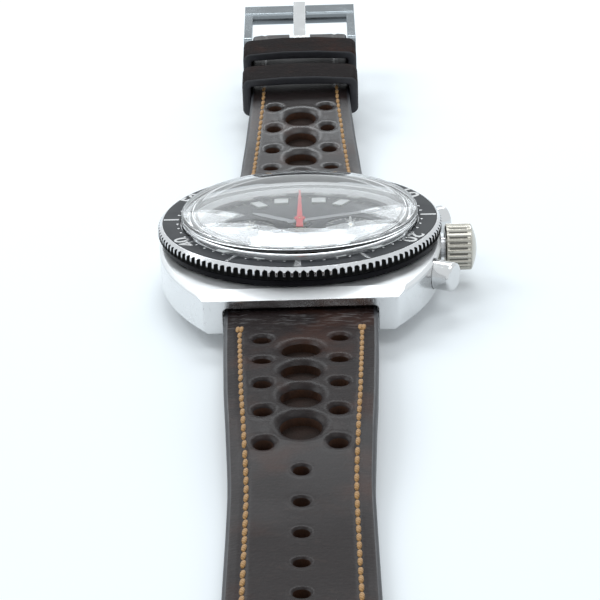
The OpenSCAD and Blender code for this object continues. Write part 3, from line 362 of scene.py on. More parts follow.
@dataclass(frozen=True)
class Steel(Finish):
    """Worn steel or brass: hairline scratches, smudges and edges that catch the light.

    Hairlines, brushed and dents say how strong those are, and smudged and scratched what smudges and
    hairlines add to the roughness. Above satin_z the steel is rougher by satin. Painted shade in grooves
    starts clean millimetres deep and is full at fill times that.
    """

    metallic: float = 1.0
    edge: float = 0.12
    hairlines: float = 0.5
    brushed: float = 0.0
    dents: float = 0.0
    satin_z: float = 0.0
    satin: float = 0.3
    satin_start: float = 0.02
    smudged: float = 0.14
    smudge_cut: tuple[float, float] = (0.35, 0.75)
    smudge_shade: float = 0.93
    scratched: float = 0.2
    # Colour, added roughness and shine of the painted shade in grooves.
    dirt: Colour = (0.006, 0.006, 0.006)
    dirt_rough: float = 0.4
    dirt_shine: float = 0.05
    clean: float = 0.04
    fill: float = 2.2
    smudge: Pattern = Pattern(0.16, 4, 0.6)
    scratch: Pattern = Pattern(0.35, 4, 0.62, (1, 14, 3), 0.5, cut=(0.6, 0.68))
    cross: Pattern = Pattern(0.4, 4, 0.62, (12, 1, 2), -0.35, cut=(0.61, 0.7))
    brush: Pattern = Pattern(0.5, 2, 0.7, (0.6, 60, 60))
    dent: Pattern = Pattern(0.7, 2, 0.5, cut=(0.66, 0.8))

    def grime(self, g: Graph) -> Value:
        """Share of painted shade in a groove; plain steel has none."""
        return 0.0

    def filled(self, deep: Sock) -> Sock:
        """Share of painted shade at a depth in metres."""
        return deep.step(self.clean * MM, self.fill * self.clean * MM)

    def sockets(self, g: Graph) -> dict[str, Value]:
        """Smudged roughness, hairlines in two directions, brushing, small dents and painted shade in
        grooves.

        Args:
            g: the material's node tree.

        Returns:
            Values for the shader's sockets.
        """
        smudge = self.smudge.on(g)
        lines = (self.scratch.on(g) + self.cross.on(g)) * self.hairlines
        height = 0.5 - 0.5 * lines - self.dent.on(g) * self.dents + self.brush.on(g) * self.brushed
        rough = self.roughness + self.smudged * smudge.step(*self.smudge_cut) + self.scratched * lines
        if self.satin_z:
            start = (self.satin_z - self.satin_start) * MM
            rough = rough + self.satin * g.axis(2).step(start, self.satin_z * MM)
        tone = g.blend(smudge, self.shade(self.smudge_shade), self.colour)
        values = {"Normal": self.bump(g, height, self.edge)}
        grime = self.grime(g)
        # Painted shade: grooves are darkened, and made rougher and less metallic, by their depth.
        if isinstance(grime, Sock):
            tone = g.blend(grime, tone, self.dirt)
            rough = rough + self.dirt_rough * grime
            values["Metallic"] = 1.0 - grime
            values["Specular IOR Level"] = self.dirt_shine
        return {"Base Color": tone, "Roughness": rough, **values}


@dataclass(frozen=True)
class CoinEdge(Steel):
    """Steel of the bezel, with near-black painted shade in the flutes of its coin edge.

    The ring is plain up to bend_z and slopes inwards above it. Creep says how far the painted shade comes
    out of the flutes lower down, and floor is the depth at which it ends.
    """

    outer: float = 19.5
    bend_z: float = 9.48
    rim_slope: float = 1.1
    creep: float = 0.13
    floor: tuple[float, float] = (0.34, 0.42)

    def grime(self, g: Graph) -> Value:
        """Painted shade where the surface lies deeper than the plain ring and its sloping rim.

        Args:
            g: the material's node tree.

        Returns:
            The share of painted shade, from 0 to 1.
        """
        # Painted shade: darker deeper in the flutes, and further out of them lower down.
        rim = (g.axis(2) - self.bend_z * MM).above(0.0) * self.rim_slope
        deep = self.outer * MM - rim - g.away((0, 0, 0), (1, 1, 0))
        low = (self.bend_z * MM - g.axis(2)).above(0.0) * self.creep
        return self.filled(deep + low) * deep.step(self.floor[1] * MM, self.floor[0] * MM)


@dataclass(frozen=True)
class CrownEdge(Steel):
    """Steel of the crown, with painted shade between its ribs, which fades in at both ends."""

    outer: float = 3.2
    axis_z: float = 5.1
    ends: tuple[float, float] = (20.4, 23.0)
    fade: float = 0.1

    def grime(self, g: Graph) -> Value:
        """Painted shade where the fluted part lies deeper than its ribs.

        Args:
            g: the material's node tree.

        Returns:
            The share of painted shade, from 0 to 1.
        """
        # Painted shade: darker deeper between the ribs.
        deep = self.outer * MM - g.away((0, 0, self.axis_z * MM), (0, 1, 1))
        first, last = self.ends
        inside = g.axis(0).step(first * MM, (first + self.fade) * MM)
        return self.filled(deep) * inside * g.axis(0).step(last * MM, (last - self.fade) * MM)


@dataclass(frozen=True)
class Lacquer(Finish):
    """Paint or black plating with a clear gloss, dust and rubbed places."""

    relief: float = 0.006
    strength: float = 0.5
    coat: float = 0.4
    coat_rough: float = 0.12
    shine: float = 0.5
    rub: Colour = (0.2, 0.2, 0.2)
    rubbed: float = 0.0
    edge: float = 0.06
    cloud_shade: float = 0.8
    cloud_cut: tuple[float, float] = (0.4, 0.8)
    cloud_rough: float = 0.12
    rub_rough: float = 0.2
    peel: Pattern = Pattern(2.2)
    wear: Pattern = Pattern(1.1, 5, 0.7, cut=(0.66, 0.74))
    cloud: Pattern = Pattern(0.25)

    def sockets(self, g: Graph) -> dict[str, Value]:
        """A faint orange peel under the gloss, and rubbed specks.

        Args:
            g: the material's node tree.

        Returns:
            Values for the shader's sockets.
        """
        worn = self.wear.on(g) * self.rubbed
        cloud = self.cloud.on(g)
        tone = g.blend(cloud, self.shade(self.cloud_shade), self.colour)
        rough = self.roughness + self.cloud_rough * cloud.step(*self.cloud_cut) + self.rub_rough * worn
        return {
            "Base Color": g.blend(worn, tone, self.rub),
            "Roughness": rough,
            "Specular IOR Level": self.shine,
            "Coat Weight": self.coat,
            "Coat Roughness": self.coat_rough,
            "Normal": self.bump(g, self.peel.on(g) - worn, self.edge),
        }


@dataclass(frozen=True)
class DialPaint(Lacquer):
    """Dial lacquer with fine rings turned into the two small dials."""

    relief: float = 0.02
    small_x: float = 7.0
    small_r: float = 3.8
    ring_step: float = 0.16
    ring_start: float = 0.1
    ring_shine: float = 0.08

    def sockets(self, g: Graph) -> dict[str, Value]:
        """The lacquer's sockets, with the rings in place of the orange peel.

        Args:
            g: the material's node tree.

        Returns:
            Values for the shader's sockets.
        """
        values = super().sockets(g)
        rings: Sock | float = 0.0
        for side in (-1, 1):
            away = g.away((side * self.small_x * MM, 0, 0), (1, 1, 0))
            inside = away.step(self.small_r * MM, (self.small_r - self.ring_start) * MM)
            rings = away.wave(2 * math.pi / (self.ring_step * MM)) * inside + rings
        values["Roughness"] = values["Roughness"] - self.ring_shine * rings
        values["Normal"] = self.bump(g, rings)
        return values


@dataclass(frozen=True)
class Acrylic(Finish):
    """Clear domed acrylic with hairline scratches."""

    relief: float = 0.001
    strength: float = 0.3
    ior: float = 1.49
    scratched: float = 0.05
    scratch: Pattern = Pattern(0.2, 3, 0.6, (1, 20, 1), 0.7, cut=(0.66, 0.72))
    cross: Pattern = Pattern(0.2, 3, 0.6, (16, 1, 1), 0.25, cut=(0.66, 0.72))

    def sockets(self, g: Graph) -> dict[str, Value]:
        """Full transmission and a scratched surface.

        Args:
            g: the material's node tree.

        Returns:
            Values for the shader's sockets.
        """
        lines = self.scratch.on(g) + self.cross.on(g)
        return {
            "Transmission Weight": 1.0,
            "IOR": self.ior,
            "Roughness": self.roughness + self.scratched * lines,
            "Normal": self.bump(g, 1.0 - lines),
        }


@dataclass(frozen=True)
class Leather(Finish):
    """Waxed leather: pores, folds across the strap, lighter rubbed crests, painted shade in the creases and
    a reddish pull-up.

    The wax is streaked between the two distances head_y from the middle of the watch, where the strap
    bends most, and even further out, with a weight of sheen and of behind more on the far half.
    """

    relief: float = 0.15
    strength: float = 0.8
    crest: Colour = (0.045, 0.028, 0.024)
    crest_cut: tuple[float, float] = (0.46, 0.75)
    crested: float = 0.4
    pull: Colour = (0.036, 0.014, 0.009)
    pull_cut: tuple[float, float] = (0.5, 0.75)
    creased: float = 0.25
    crease_shade: float = 0.5
    coat_rough: float = 0.3
    shine: float = 0.02
    sheen: float = 0.26
    behind: float = 0.5
    head_y: tuple[float, float] = (19.0, 31.0)
    streak: Pattern = Pattern(0.5, 4, 0.6, (1, 4.5, 1), twist=0.3, cut=(0.5, 0.64))
    wrinkle: Pattern = Pattern(0.8, 3, 0.6, (0.8, 4.5, 1), twist=0.5)
    pore: Pattern = Pattern(1.9, cells="F1", cut=(0.05, 0.8))
    fine: Pattern = Pattern(4.18, 3, 0.6)
    fold: Pattern = Pattern(0.3, 4, 0.55, (1, 3.4, 1), twist=0.4)
    crease: Pattern = Pattern(0.35, stretch=(0.5, 1.8, 1), cells="DISTANCE_TO_EDGE", cut=(0.06, 0.0))
    cloud: Pattern = Pattern(0.11, 3, 0.55)

    def gloss(self, g: Graph) -> tuple[Sock, Sock]:
        """The wax coat.

        Args:
            g: the material's node tree.

        Returns:
            The weight of the coat, and the height of the wrinkles near the case.
        """
        y = g.axis(1)
        near, far = (edge * MM for edge in self.head_y)
        waxed = (y * y).step(far**2, near**2)
        even = y.step(near, far * 1.3) * self.behind + self.sheen
        return even * (1.0 - waxed) + waxed * self.streak.on(g), waxed * self.wrinkle.on(g)

    def sockets(self, g: Graph) -> dict[str, Value]:
        """Grain and folds in the bump, crests, pull-up and painted shade along the creases in the colour,
        wax in the coat.

        Args:
            g: the material's node tree.

        Returns:
            Values for the shader's sockets.
        """
        pores, fine, folds, crease = (p.on(g) for p in (self.pore, self.fine, self.fold, self.crease))
        coat, wrinkles = self.gloss(g)
        height = 0.35 * pores + 0.35 * fine + folds + 1.6 * wrinkles - 0.15 * crease
        worn = (folds * pores).step(*self.crest_cut) * self.crested
        tone = g.blend(self.cloud.on(g).step(*self.pull_cut), self.colour, self.pull)
        # Painted shade: the colour darkens along the creases.
        tone = g.blend(crease * self.creased, tone, self.shade(self.crease_shade))
        return {
            "Base Color": g.blend(worn, tone, self.crest),
            "Roughness": self.roughness + 0.16 * fine - 0.08 * worn,
            "Specular IOR Level": self.shine,
            "Coat Weight": coat,
            "Coat Roughness": self.coat_rough,
            "Normal": self.bump(g, height),
        }


@dataclass(frozen=True)
class RawLeather(Finish):
    """Cut or split leather: open fibres, lighter and darker where oil has soaked in."""

    relief: float = 0.08
    strength: float = 0.8
    dark: Colour = (0.03, 0.014, 0.01)
    shine: float = 0.25
    fibre: Pattern = Pattern(5.0, 4, 0.65, (1, 1, 0.4))
    blotch: Pattern = Pattern(0.5, 3, 0.6, cut=(0.35, 0.7))

    def sockets(self, g: Graph) -> dict[str, Value]:
        """Fibres in the bump and blotches in the colour.

        Args:
            g: the material's node tree.

        Returns:
            Values for the shader's sockets.
        """
        fibres = self.fibre.on(g)
        return {
            "Base Color": g.blend(self.blotch.on(g) * 0.6 + 0.25 * fibres, self.colour, self.dark),
            "Normal": self.bump(g, fibres),
            "Specular IOR Level": self.shine,
        }


@dataclass(frozen=True)
class EdgePaint(Finish):
    """Thick paint on a strap's edge, with a wavy skin."""

    relief: float = 0.08
    rub_shade: float = 1.9
    wave: Pattern = Pattern(1.2, stretch=(1, 0.4, 1))
    rub: Pattern = Pattern(0.4, 3, 0.6, cut=(0.5, 0.8))

    def sockets(self, g: Graph) -> dict[str, Value]:
        """Waves along the edge, and rubbed lighter places.

        Args:
            g: the material's node tree.

        Returns:
            Values for the shader's sockets.
        """
        waves = self.wave.on(g)
        return {
            "Base Color": g.blend(self.rub.on(g) * 0.5, self.colour, self.shade(self.rub_shade)),
            "Roughness": self.roughness + 0.15 * waves,
            "Normal": self.bump(g, waves),
        }


@dataclass(frozen=True)
class Thread(Finish):
    """Waxed thread of twisted plies."""

    relief: float = 0.05
    strength: float = 0.7
    ply_step: float = 0.32
    ply_turn: float = 0.6
    ply_shade: float = 0.5
    sheen: float = 0.2
    fuzz: Pattern = Pattern(6, 2)

    def sockets(self, g: Graph) -> dict[str, Value]:
        """Slanted ridges of the twist, with painted shade between them.

        Args:
            g: the material's node tree.

        Returns:
            Values for the shader's sockets.
        """
        twist = g.axis(1, self.ply_turn).wave(2 * math.pi / (self.ply_step * MM))
        fuzz = self.fuzz.on(g)
        return {
            # Painted shade: darker between the plies of the twist.
            "Base Color": g.blend(twist * 0.6 + 0.4 * fuzz, self.shade(self.ply_shade), self.colour),
            "Normal": self.bump(g, twist + 0.3 * fuzz),
            "Sheen Weight": self.sheen,
        }


class Metal(Enum):
    """Metal finishes."""

    CASE = Steel(
        "case_steel", (0.77, 0.775, 0.78), 0.14, hairlines=0.6, brushed=0.2, dents=0.8, satin_z=6.54
    )
    POLISHED = Steel("polished_steel", (0.68, 0.68, 0.68), 0.08, hairlines=0.3)
    BEZEL = CoinEdge("bezel_steel", (0.7, 0.7, 0.71), 0.12, edge=0.08, hairlines=0.3)
    # The buckle's colour is far darker than the other steel: a painted reflection of darker surroundings.
    BUCKLE = Steel("buckle_steel", (0.21, 0.23, 0.245), 0.14, edge=0.15, hairlines=0.3)
    # The crown's colour is darker and warmer than the case steel: a painted reflection of brown
    # surroundings.
    CROWN = CrownEdge("crown_steel", (0.5, 0.475, 0.42), 0.18, edge=0.08, hairlines=0.3, clean=0.1)
    PLAIN = Steel("plain_steel", (0.56, 0.56, 0.57), 0.22, edge=0.05)
    HAND = Steel("hand_steel", (0.34, 0.34, 0.35), 0.3, edge=0.03, hairlines=0.1)
    MARK = Steel("bare_metal_mark", (0.74, 0.74, 0.74), 0.16, edge=0.02, hairlines=0.1)
    PLATE = Steel("movement_plate", (0.68, 0.62, 0.49), 0.3, edge=0.05, brushed=0.4)
    BRASS = Steel("wheel_brass", (0.78, 0.58, 0.27), 0.2, edge=0.03)
    BLUED = Steel("blued_steel", (0.06, 0.1, 0.32), 0.16, edge=0.03, hairlines=0.2)


class Paint(Enum):
    """Painted, plated and moulded finishes."""

    RING = Lacquer("black_ring", (0.007, 0.007, 0.009), 0.3, coat=0.0, shine=0.08, rubbed=0.15)
    INSERT = Lacquer("insert_black", (0.013, 0.015, 0.019), 0.42, coat=0.0, shine=0.2, rubbed=0.25)
    DIAL = DialPaint("dial_black", (0.028, 0.029, 0.032), 0.42, coat=0.1)
    MARKER = Lacquer("marker_white", (0.82, 0.83, 0.8), 0.3, rub=(0.6, 0.6, 0.55), rubbed=0.1)
    WHITE = Lacquer("hand_white", (0.8, 0.8, 0.77), 0.3, edge=0.03)
    RED = Lacquer("hand_red", (0.8, 0.008, 0.014), 0.35, coat=0.1, edge=0.03)
    RUBBER = Lacquer("seal_rubber", (0.02, 0.02, 0.02), 0.6, coat=0.0)


class Hide(Enum):
    """Leather, paint on its edges, and thread."""

    UPPER = Leather("upper_leather", (0.014, 0.0092, 0.009), 0.48)
    KEEPER = Leather("keeper_leather", (0.013, 0.01, 0.01), 0.55, relief=0.09, sheen=0.03, behind=0.0)
    LINING = Leather(
        "lining_leather", (0.1, 0.05, 0.03), 0.55, relief=0.09, crest=(0.2, 0.11, 0.06), behind=0.0
    )
    # RAW and SPLIT are darker than cut leather is, to stand for the shade inside the holes: painted shade.
    RAW = RawLeather("raw_leather", (0.055, 0.022, 0.01), 0.85, dark=(0.02, 0.01, 0.007))
    SPLIT = RawLeather("split_leather", (0.02, 0.009, 0.006), 0.9, dark=(0.01, 0.006, 0.004))
    EDGE = EdgePaint("edge_paint", (0.02, 0.02, 0.024), 0.4)
    THREAD = Thread("thread", (0.5, 0.26, 0.07), 0.6)


NODE_FINISH: dict[Enum, tuple[str, ...]] = {
    Metal.CASE: ("mid_case", "case_back"),
    Metal.BEZEL: ("bezel_ring",),
    Metal.BUCKLE: ("buckle_frame",),
    Metal.POLISHED: ("start_pusher", "reset_pusher", "crystal_ring", "buckle_tongue"),
    Metal.CROWN: ("crown",),
    Metal.PLAIN: (
        "bezel_wire", "crown_tube", "pusher_tubes", "winding_stem", "spring_bars", "buckle_bar",
        "pallet_fork", "cannon_pinion", "ratchet_wheel", "chronograph_bridge",
    ),
    Paint.RING: ("friction_ring",),
    Paint.INSERT: ("bezel_insert",),
    Paint.DIAL: ("dial", "dial_flange"),
    Paint.MARKER: ("hour_markers",),
    Metal.HAND: ("hour_hand", "minute_hand"),
    Paint.WHITE: ("seconds_hand", "counter_hand"),
    Paint.RED: ("sweep_hand",),
    Metal.PLATE: ("mainplate", "barrel_bridge", "train_bridge", "balance_cock", "movement_ring"),
    Metal.BRASS: (
        "barrel", "centre_wheel", "third_wheel", "fourth_wheel", "escape_wheel", "balance_wheel",
        "minute_wheel", "hour_wheel", "sweep_wheel", "counter_wheel",
    ),
    Metal.BLUED: ("plate_screws", "hairspring"),
    Paint.RUBBER: ("back_gasket", "crown_gasket"),
}

_made: dict[str, bpy.types.Material] = {}


def finish(choice: Enum) -> bpy.types.Material:
    """The material of a finish, made once.

    Args:
        choice: a member of Metal, Paint, Hide or Glass.

    Returns:
        Its material.
    """
    if choice.value.name not in _made:
        _made[choice.value.name] = choice.value.material()
    return _made[choice.value.name]


# Modelling by operators


def take(*pieces: Piece) -> None:
    """Leaves only these pieces selected, with the first one active.

    Args:
        pieces: the objects to select, or none.
    """
    if bpy.context.object is not None and bpy.context.object.mode != "OBJECT":
        bpy.ops.object.mode_set(mode="OBJECT")
    bpy.ops.object.select_all(action="DESELECT")
    for piece in pieces:
        piece.select_set(True)
    if pieces:
        bpy.context.view_layer.objects.active = pieces[0]


@contextmanager
def editing(piece: Piece, mode: str = "FACE") -> Iterator[bmesh.types.BMesh]:
    """Edit mode on one piece with nothing selected.

    Args:
        piece: the object to edit.
        mode: what is selected: VERT, EDGE or FACE.

    Yields:
        The mesh being edited.
    """
    take(piece)
    bpy.ops.object.mode_set(mode="EDIT")
    bpy.ops.mesh.select_mode(type=mode)
    bpy.ops.mesh.select_all(action="DESELECT")
    yield bmesh.from_edit_mesh(piece.data)
    bpy.ops.object.mode_set(mode="OBJECT")


def pick(parts: Sequence, test: Callable[[object], bool]) -> None:
    """Selects the faces, edges or vertices that pass the test."""
    for part in parts:
        part.select_set(bool(test(part)))


def started(name: str) -> Piece:
    """Names the primitive that was just added and applies its place.

    Args:
        name: the piece's name.

    Returns:
        The piece, at the origin and unscaled.
    """
    piece = bpy.context.object
    piece.name = name
    bpy.ops.object.transform_apply(location=True, rotation=True, scale=True)
    return piece


def modify(piece: Piece, kind: str, **settings: object) -> None:
    """Adds a modifier and applies it.

    Args:
        piece: the object.
        kind: the modifier's type.
        settings: its properties.
    """
    take(piece)
    modifier = piece.modifiers.new(kind.lower(), kind)
    for name, setting in settings.items():
        setattr(modifier, name, setting)
    bpy.ops.object.modifier_apply(modifier=modifier.name)


def joined(pieces: Sequence[Piece], name: str) -> Piece:
    """Joins pieces into the first of them and names it.

    Args:
        pieces: the objects to join.
        name: the joined piece's name.

    Returns:
        The joined piece.
    """
    take(*pieces)
    if len(pieces) > 1:
        bpy.ops.object.join()
    pieces[0].name = name
    return pieces[0]


def smooth(piece: Piece, degrees: float) -> None:
    """Smooth shading with creases at edges sharper than an angle."""
    take(piece)
    bpy.ops.object.shade_smooth_by_angle(angle=math.radians(degrees))


def welded() -> None:
    """Merges all doubled vertices of the mesh in edit mode."""
    bpy.ops.mesh.select_all(action="SELECT")
    bpy.ops.mesh.remove_doubles(threshold=WELD)


def outwards() -> None:
    """Turns every face of the mesh in edit mode outwards."""
    bpy.ops.mesh.select_all(action="SELECT")
    bpy.ops.mesh.normals_make_consistent(inside=False)


def raised(height: float) -> None:
    """Extrudes the selected faces upwards, or downwards for a height below 0."""
    bpy.ops.mesh.extrude_region_move(TRANSFORM_OT_translate={"value": (0, 0, height * MM)})


def mend(piece: Piece) -> None:
    """Merges doubled vertices and turns every face outwards.

    Args:
        piece: the object to clean.
    """
    with editing(piece, "VERT"):
        welded()
        outwards()


def copies(model: Piece, places: Sequence[Matrix], name: str) -> Piece:
    """Copies a modelled piece to several places and joins the copies.

    Args:
        model: the piece that is repeated; it is removed.
        places: where each copy goes.
        name: name of the joined piece.

    Returns:
        The joined piece, at the origin.
    """
    made = []
    for place in places:
        copy = model.copy()
        copy.data = model.data.copy()
        copy.data.transform(place)
        bpy.context.scene.collection.objects.link(copy)
        made.append(copy)
    bpy.data.objects.remove(model)
    return joined(made, name)


def dressed(piece: Piece, body: str, *choices: Enum) -> Piece:
    """Gives a piece its finishes, by the numbers its faces have, and lets it ride on a body.

    Args:
        piece: the object.
        body: the body that it rides on.
        choices: a finish for each number that its faces have.

    Returns:
        The same piece.
    """
    numbers = [face.material_index for face in piece.data.polygons]
    piece.data.materials.clear()
    for choice in choices:
        piece.data.materials.append(finish(choice))
    piece.data.polygons.foreach_set("material_index", numbers)
    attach(piece, body)
    log.info("%s rides on %s", piece.name, body)
    return piece


def node_copy(node: str, name: str) -> Piece:
    """A free copy of a CAD node with a mesh of its own.

    Args:
        node: the node's name.
        name: the copy's name.

    Returns:
        The copy.
    """
    source = bpy.data.objects[node]
    piece = source.copy()
    piece.data = source.data.copy()
    piece.parent = None
    for key in list(piece.keys()):
        del piece[key]
    piece.name = name
    bpy.context.scene.collection.objects.link(piece)
    return piece


def flat_block(
    name: str, outline: Sequence[tuple[float, float]], base: float, height: float
) -> Piece:
    """A thin raised block: its outline, extruded, with a narrow bevel round the top.

    Args:
        name: the piece's name.
        outline: corners in the plane, going round anticlockwise.
        base: height of the underside.
        height: how far the block stands.

    Returns:
        The block.
    """
    take()
    bpy.ops.mesh.primitive_circle_add(vertices=len(outline), radius=1.0, fill_type="NGON")
    piece = started(name)
    with editing(piece) as mesh:
        for corner, (x, y) in zip(mesh.verts, outline):
            corner.co = (x * MM, y * MM, base * MM)
        pick(mesh.faces, lambda face: True)
        raised(height)
        bpy.ops.mesh.bevel(offset=0.3 * height * MM, segments=1, affect="EDGES")
        outwards()
    return piece


def clockwise(minutes: float) -> Matrix:
    """Turns something drawn at 12 to a place so many minutes on."""
    return Matrix.Rotation(-math.radians(6 * minutes), 4, "Z")


def numeral(text: str, size: tuple[float, float], at: Place, lift: float) -> Piece:
    """Upright number as a mesh, with its middle at a place.

    Args:
        text: the digits.
        size: overall width and height.
        at: middle of the number.
        lift: how far it stands above its place.

    Returns:
        The number's mesh.
    """
    take()
    bpy.ops.object.text_add()
    written = bpy.context.object
    written.data.body = text
    written.data.offset = 0.014
    written.data.extrude = 0.01
    written.data.resolution_u = 4
    bpy.ops.object.convert(target="MESH")
    piece = bpy.context.object
    corners = [v.co.copy() for v in piece.data.vertices]
    low = [min(c[k] for c in corners) for k in range(3)]
    high = [max(c[k] for c in corners) for k in range(3)]
    sizes = (size[0] * MM, size[1] * MM, lift * MM)
    for corner in piece.data.vertices:
        for k in range(3):
            share = (corner.co[k] - low[k]) / (high[k] - low[k])
            corner.co[k] = at[k] * MM + sizes[k] * (share - (0.5 if k < 2 else 0.0))
    mend(piece)
    return piece


# Stage


@dataclass(frozen=True)
class PhotoView:
    """The photograph's camera, as fitted to the dots on the bezel; angles in degrees, clip in metres."""

    azimuth: float = 0.679
    elevation: float = 22.089
    roll: float = -1.806
    distance: float = 313.91
    target: Place = (-0.309, 0.0, -2.231)
    lens: float = 134.82
    sensor: float = 36.0
    clip: tuple[float, float] = (0.01, 20.0)

    def make(self) -> None:
        """Adds the camera and sets it as the scene's."""
        a, e, r = (math.radians(x) for x in (self.azimuth, self.elevation, self.roll))
        back = Vector((math.sin(a) * math.cos(e), -math.cos(a) * math.cos(e), math.sin(e)))
        right = (-back).cross(Vector((0, 0, 1))).normalized()
        up = right.cross(-back)
        across = right * math.cos(r) + up * math.sin(r)
        above = up * math.cos(r) - right * math.sin(r)
        spot = (Vector(self.target) + back * self.distance) * MM
        data = bpy.data.cameras.new("photo_camera")
        data.lens = self.lens
        data.sensor_width = self.sensor
        data.clip_start, data.clip_end = self.clip
        made = bpy.data.objects.new("photo_camera", data)
        turn = Matrix((across, above, back)).transposed().to_4x4()
        made.matrix_world = Matrix.Translation(spot) @ turn
        bpy.context.scene.collection.objects.link(made)
        bpy.context.scene.camera = made


@dataclass(frozen=True)
class Lamp:
    """A flat soft lamp that faces the watch; angles in degrees, sizes in metres.

    The azimuth goes from +Y towards +X. Glow is the lamp's brightness against the white background's 1,
    and watts is the power of a square metre of lamp whose glow is 1.
    """

    name: str
    azimuth: float
    elevation: float
    width: float
    height: float
    glow: float
    roll: float = 0.0
    distance: float = 1.0
    colour: Colour = (0.92, 0.97, 1.0)
    watts: float = 4.0

    def make(self) -> None:
        """Adds the lamp."""
        a, e = math.radians(self.azimuth), math.radians(self.elevation)
        way = Vector((math.sin(a) * math.cos(e), math.cos(a) * math.cos(e), math.sin(e)))
        data = bpy.data.lights.new(self.name, "AREA")
        data.shape = "RECTANGLE"
        data.size, data.size_y = self.width, self.height
        data.energy = self.glow * self.watts * self.width * self.height
        data.color = self.colour
        made = bpy.data.objects.new(self.name, data)
        level = way.cross(Vector((0, 0, 1))).normalized()
        turn = Matrix((level, way.cross(level), way)).transposed().to_4x4()
        spin = Matrix.Rotation(math.radians(self.roll), 4, "Z")
        made.matrix_world = Matrix.Translation(way * self.distance) @ turn @ spin
        bpy.context.scene.collection.objects.link(made)


@dataclass(frozen=True)
class Stage:
    """Pale floor, world and lamps; the floor's size is in metres."""

    floor_size: float = 6.0
    floor_z: float = -0.05
    floor_colour: Colour = (0.92, 0.96, 0.985)
    floor_glow: float = 0.1
    seen_colour: Colour = (0.93, 0.975, 1.0)
    fill: float = 0.62
    fill_colour: Colour = (0.93, 0.97, 1.0)
    lamps: tuple[Lamp, ...] = (
        Lamp("back_lamp", 0.0, 50.5, 0.3, 0.24, 3.7),
        Lamp("back_left_lamp", -15.5, 42.0, 0.18, 0.46, 3.4, 32.0),
        Lamp("back_right_lamp", 15.5, 42.0, 0.18, 0.46, 3.4, -32.0),
        Lamp("left_side_lamp", -17.0, 23.0, 0.12, 0.3, 1.7, 12.0),
        Lamp("right_side_lamp", 16.5, 22.0, 0.12, 0.3, 1.7, -12.0),
        Lamp("left_lamp", -60.0, 48.0, 0.5, 0.5, 2.6),
        Lamp("top_lamp", 100.0, 80.0, 0.45, 0.45, 1.5),
    )

    @staticmethod
    def _seen(g: Graph) -> Sock:
        """1 for rays that come from the camera, a mirror or glass.

        Args:
            g: the node tree.

        Returns:
            The socket.
        """
        path = g.node("ShaderNodeLightPath", out="Is Camera Ray")
        any_of = path + path.out("Is Glossy Ray") + path.out("Is Transmission Ray")
        return any_of.step(0.0, 1.0)

    def _world(self) -> None:
        """A soft world that lights the watch and looks white behind it."""
        world = bpy.data.worlds.new("studio")
        bpy.context.scene.world = world
        world.use_nodes = True
        g = Graph(world.node_tree)
        lit = g.node("ShaderNodeBackground", None, {0: (*self.fill_colour, 1.0), 1: self.fill})
        shown = g.node("ShaderNodeBackground", None, {0: (*self.seen_colour, 1.0), 1: 1.0})
        mixed = g.node("ShaderNodeMixShader", None, {0: self._seen(g), 1: lit, 2: shown})
        g.node("ShaderNodeOutputWorld", None, {"Surface": mixed})

    def _floor(self) -> None:
        """The pale table under the watch, which keeps its shadow."""
        take()
        bpy.ops.mesh.primitive_plane_add(size=self.floor_size, location=(0, 0, self.floor_z * MM))
        floor = started("floor")
        made = bpy.data.materials.new("pale_floor")
        made.use_nodes = True
        g = Graph(made.node_tree)
        matt = g.node("ShaderNodeBsdfDiffuse", None, {0: (*self.floor_colour, 1.0)})
        glow = g.node("ShaderNodeEmission", None, {0: (*self.seen_colour, 1.0), 1: 1.0})
        share = self._seen(g) * self.floor_glow
        mixed = g.node("ShaderNodeMixShader", None, {0: share, 1: matt, 2: glow})
        g.node("ShaderNodeOutputMaterial", None, {"Surface": mixed})
        floor.data.materials.append(made)
        floor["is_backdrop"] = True

    def make(self) -> None:
        """Adds floor, world and lamps."""
        self._floor()
        self._world()
        for lamp in self.lamps:
            lamp.make()


# Case, bezel and dial


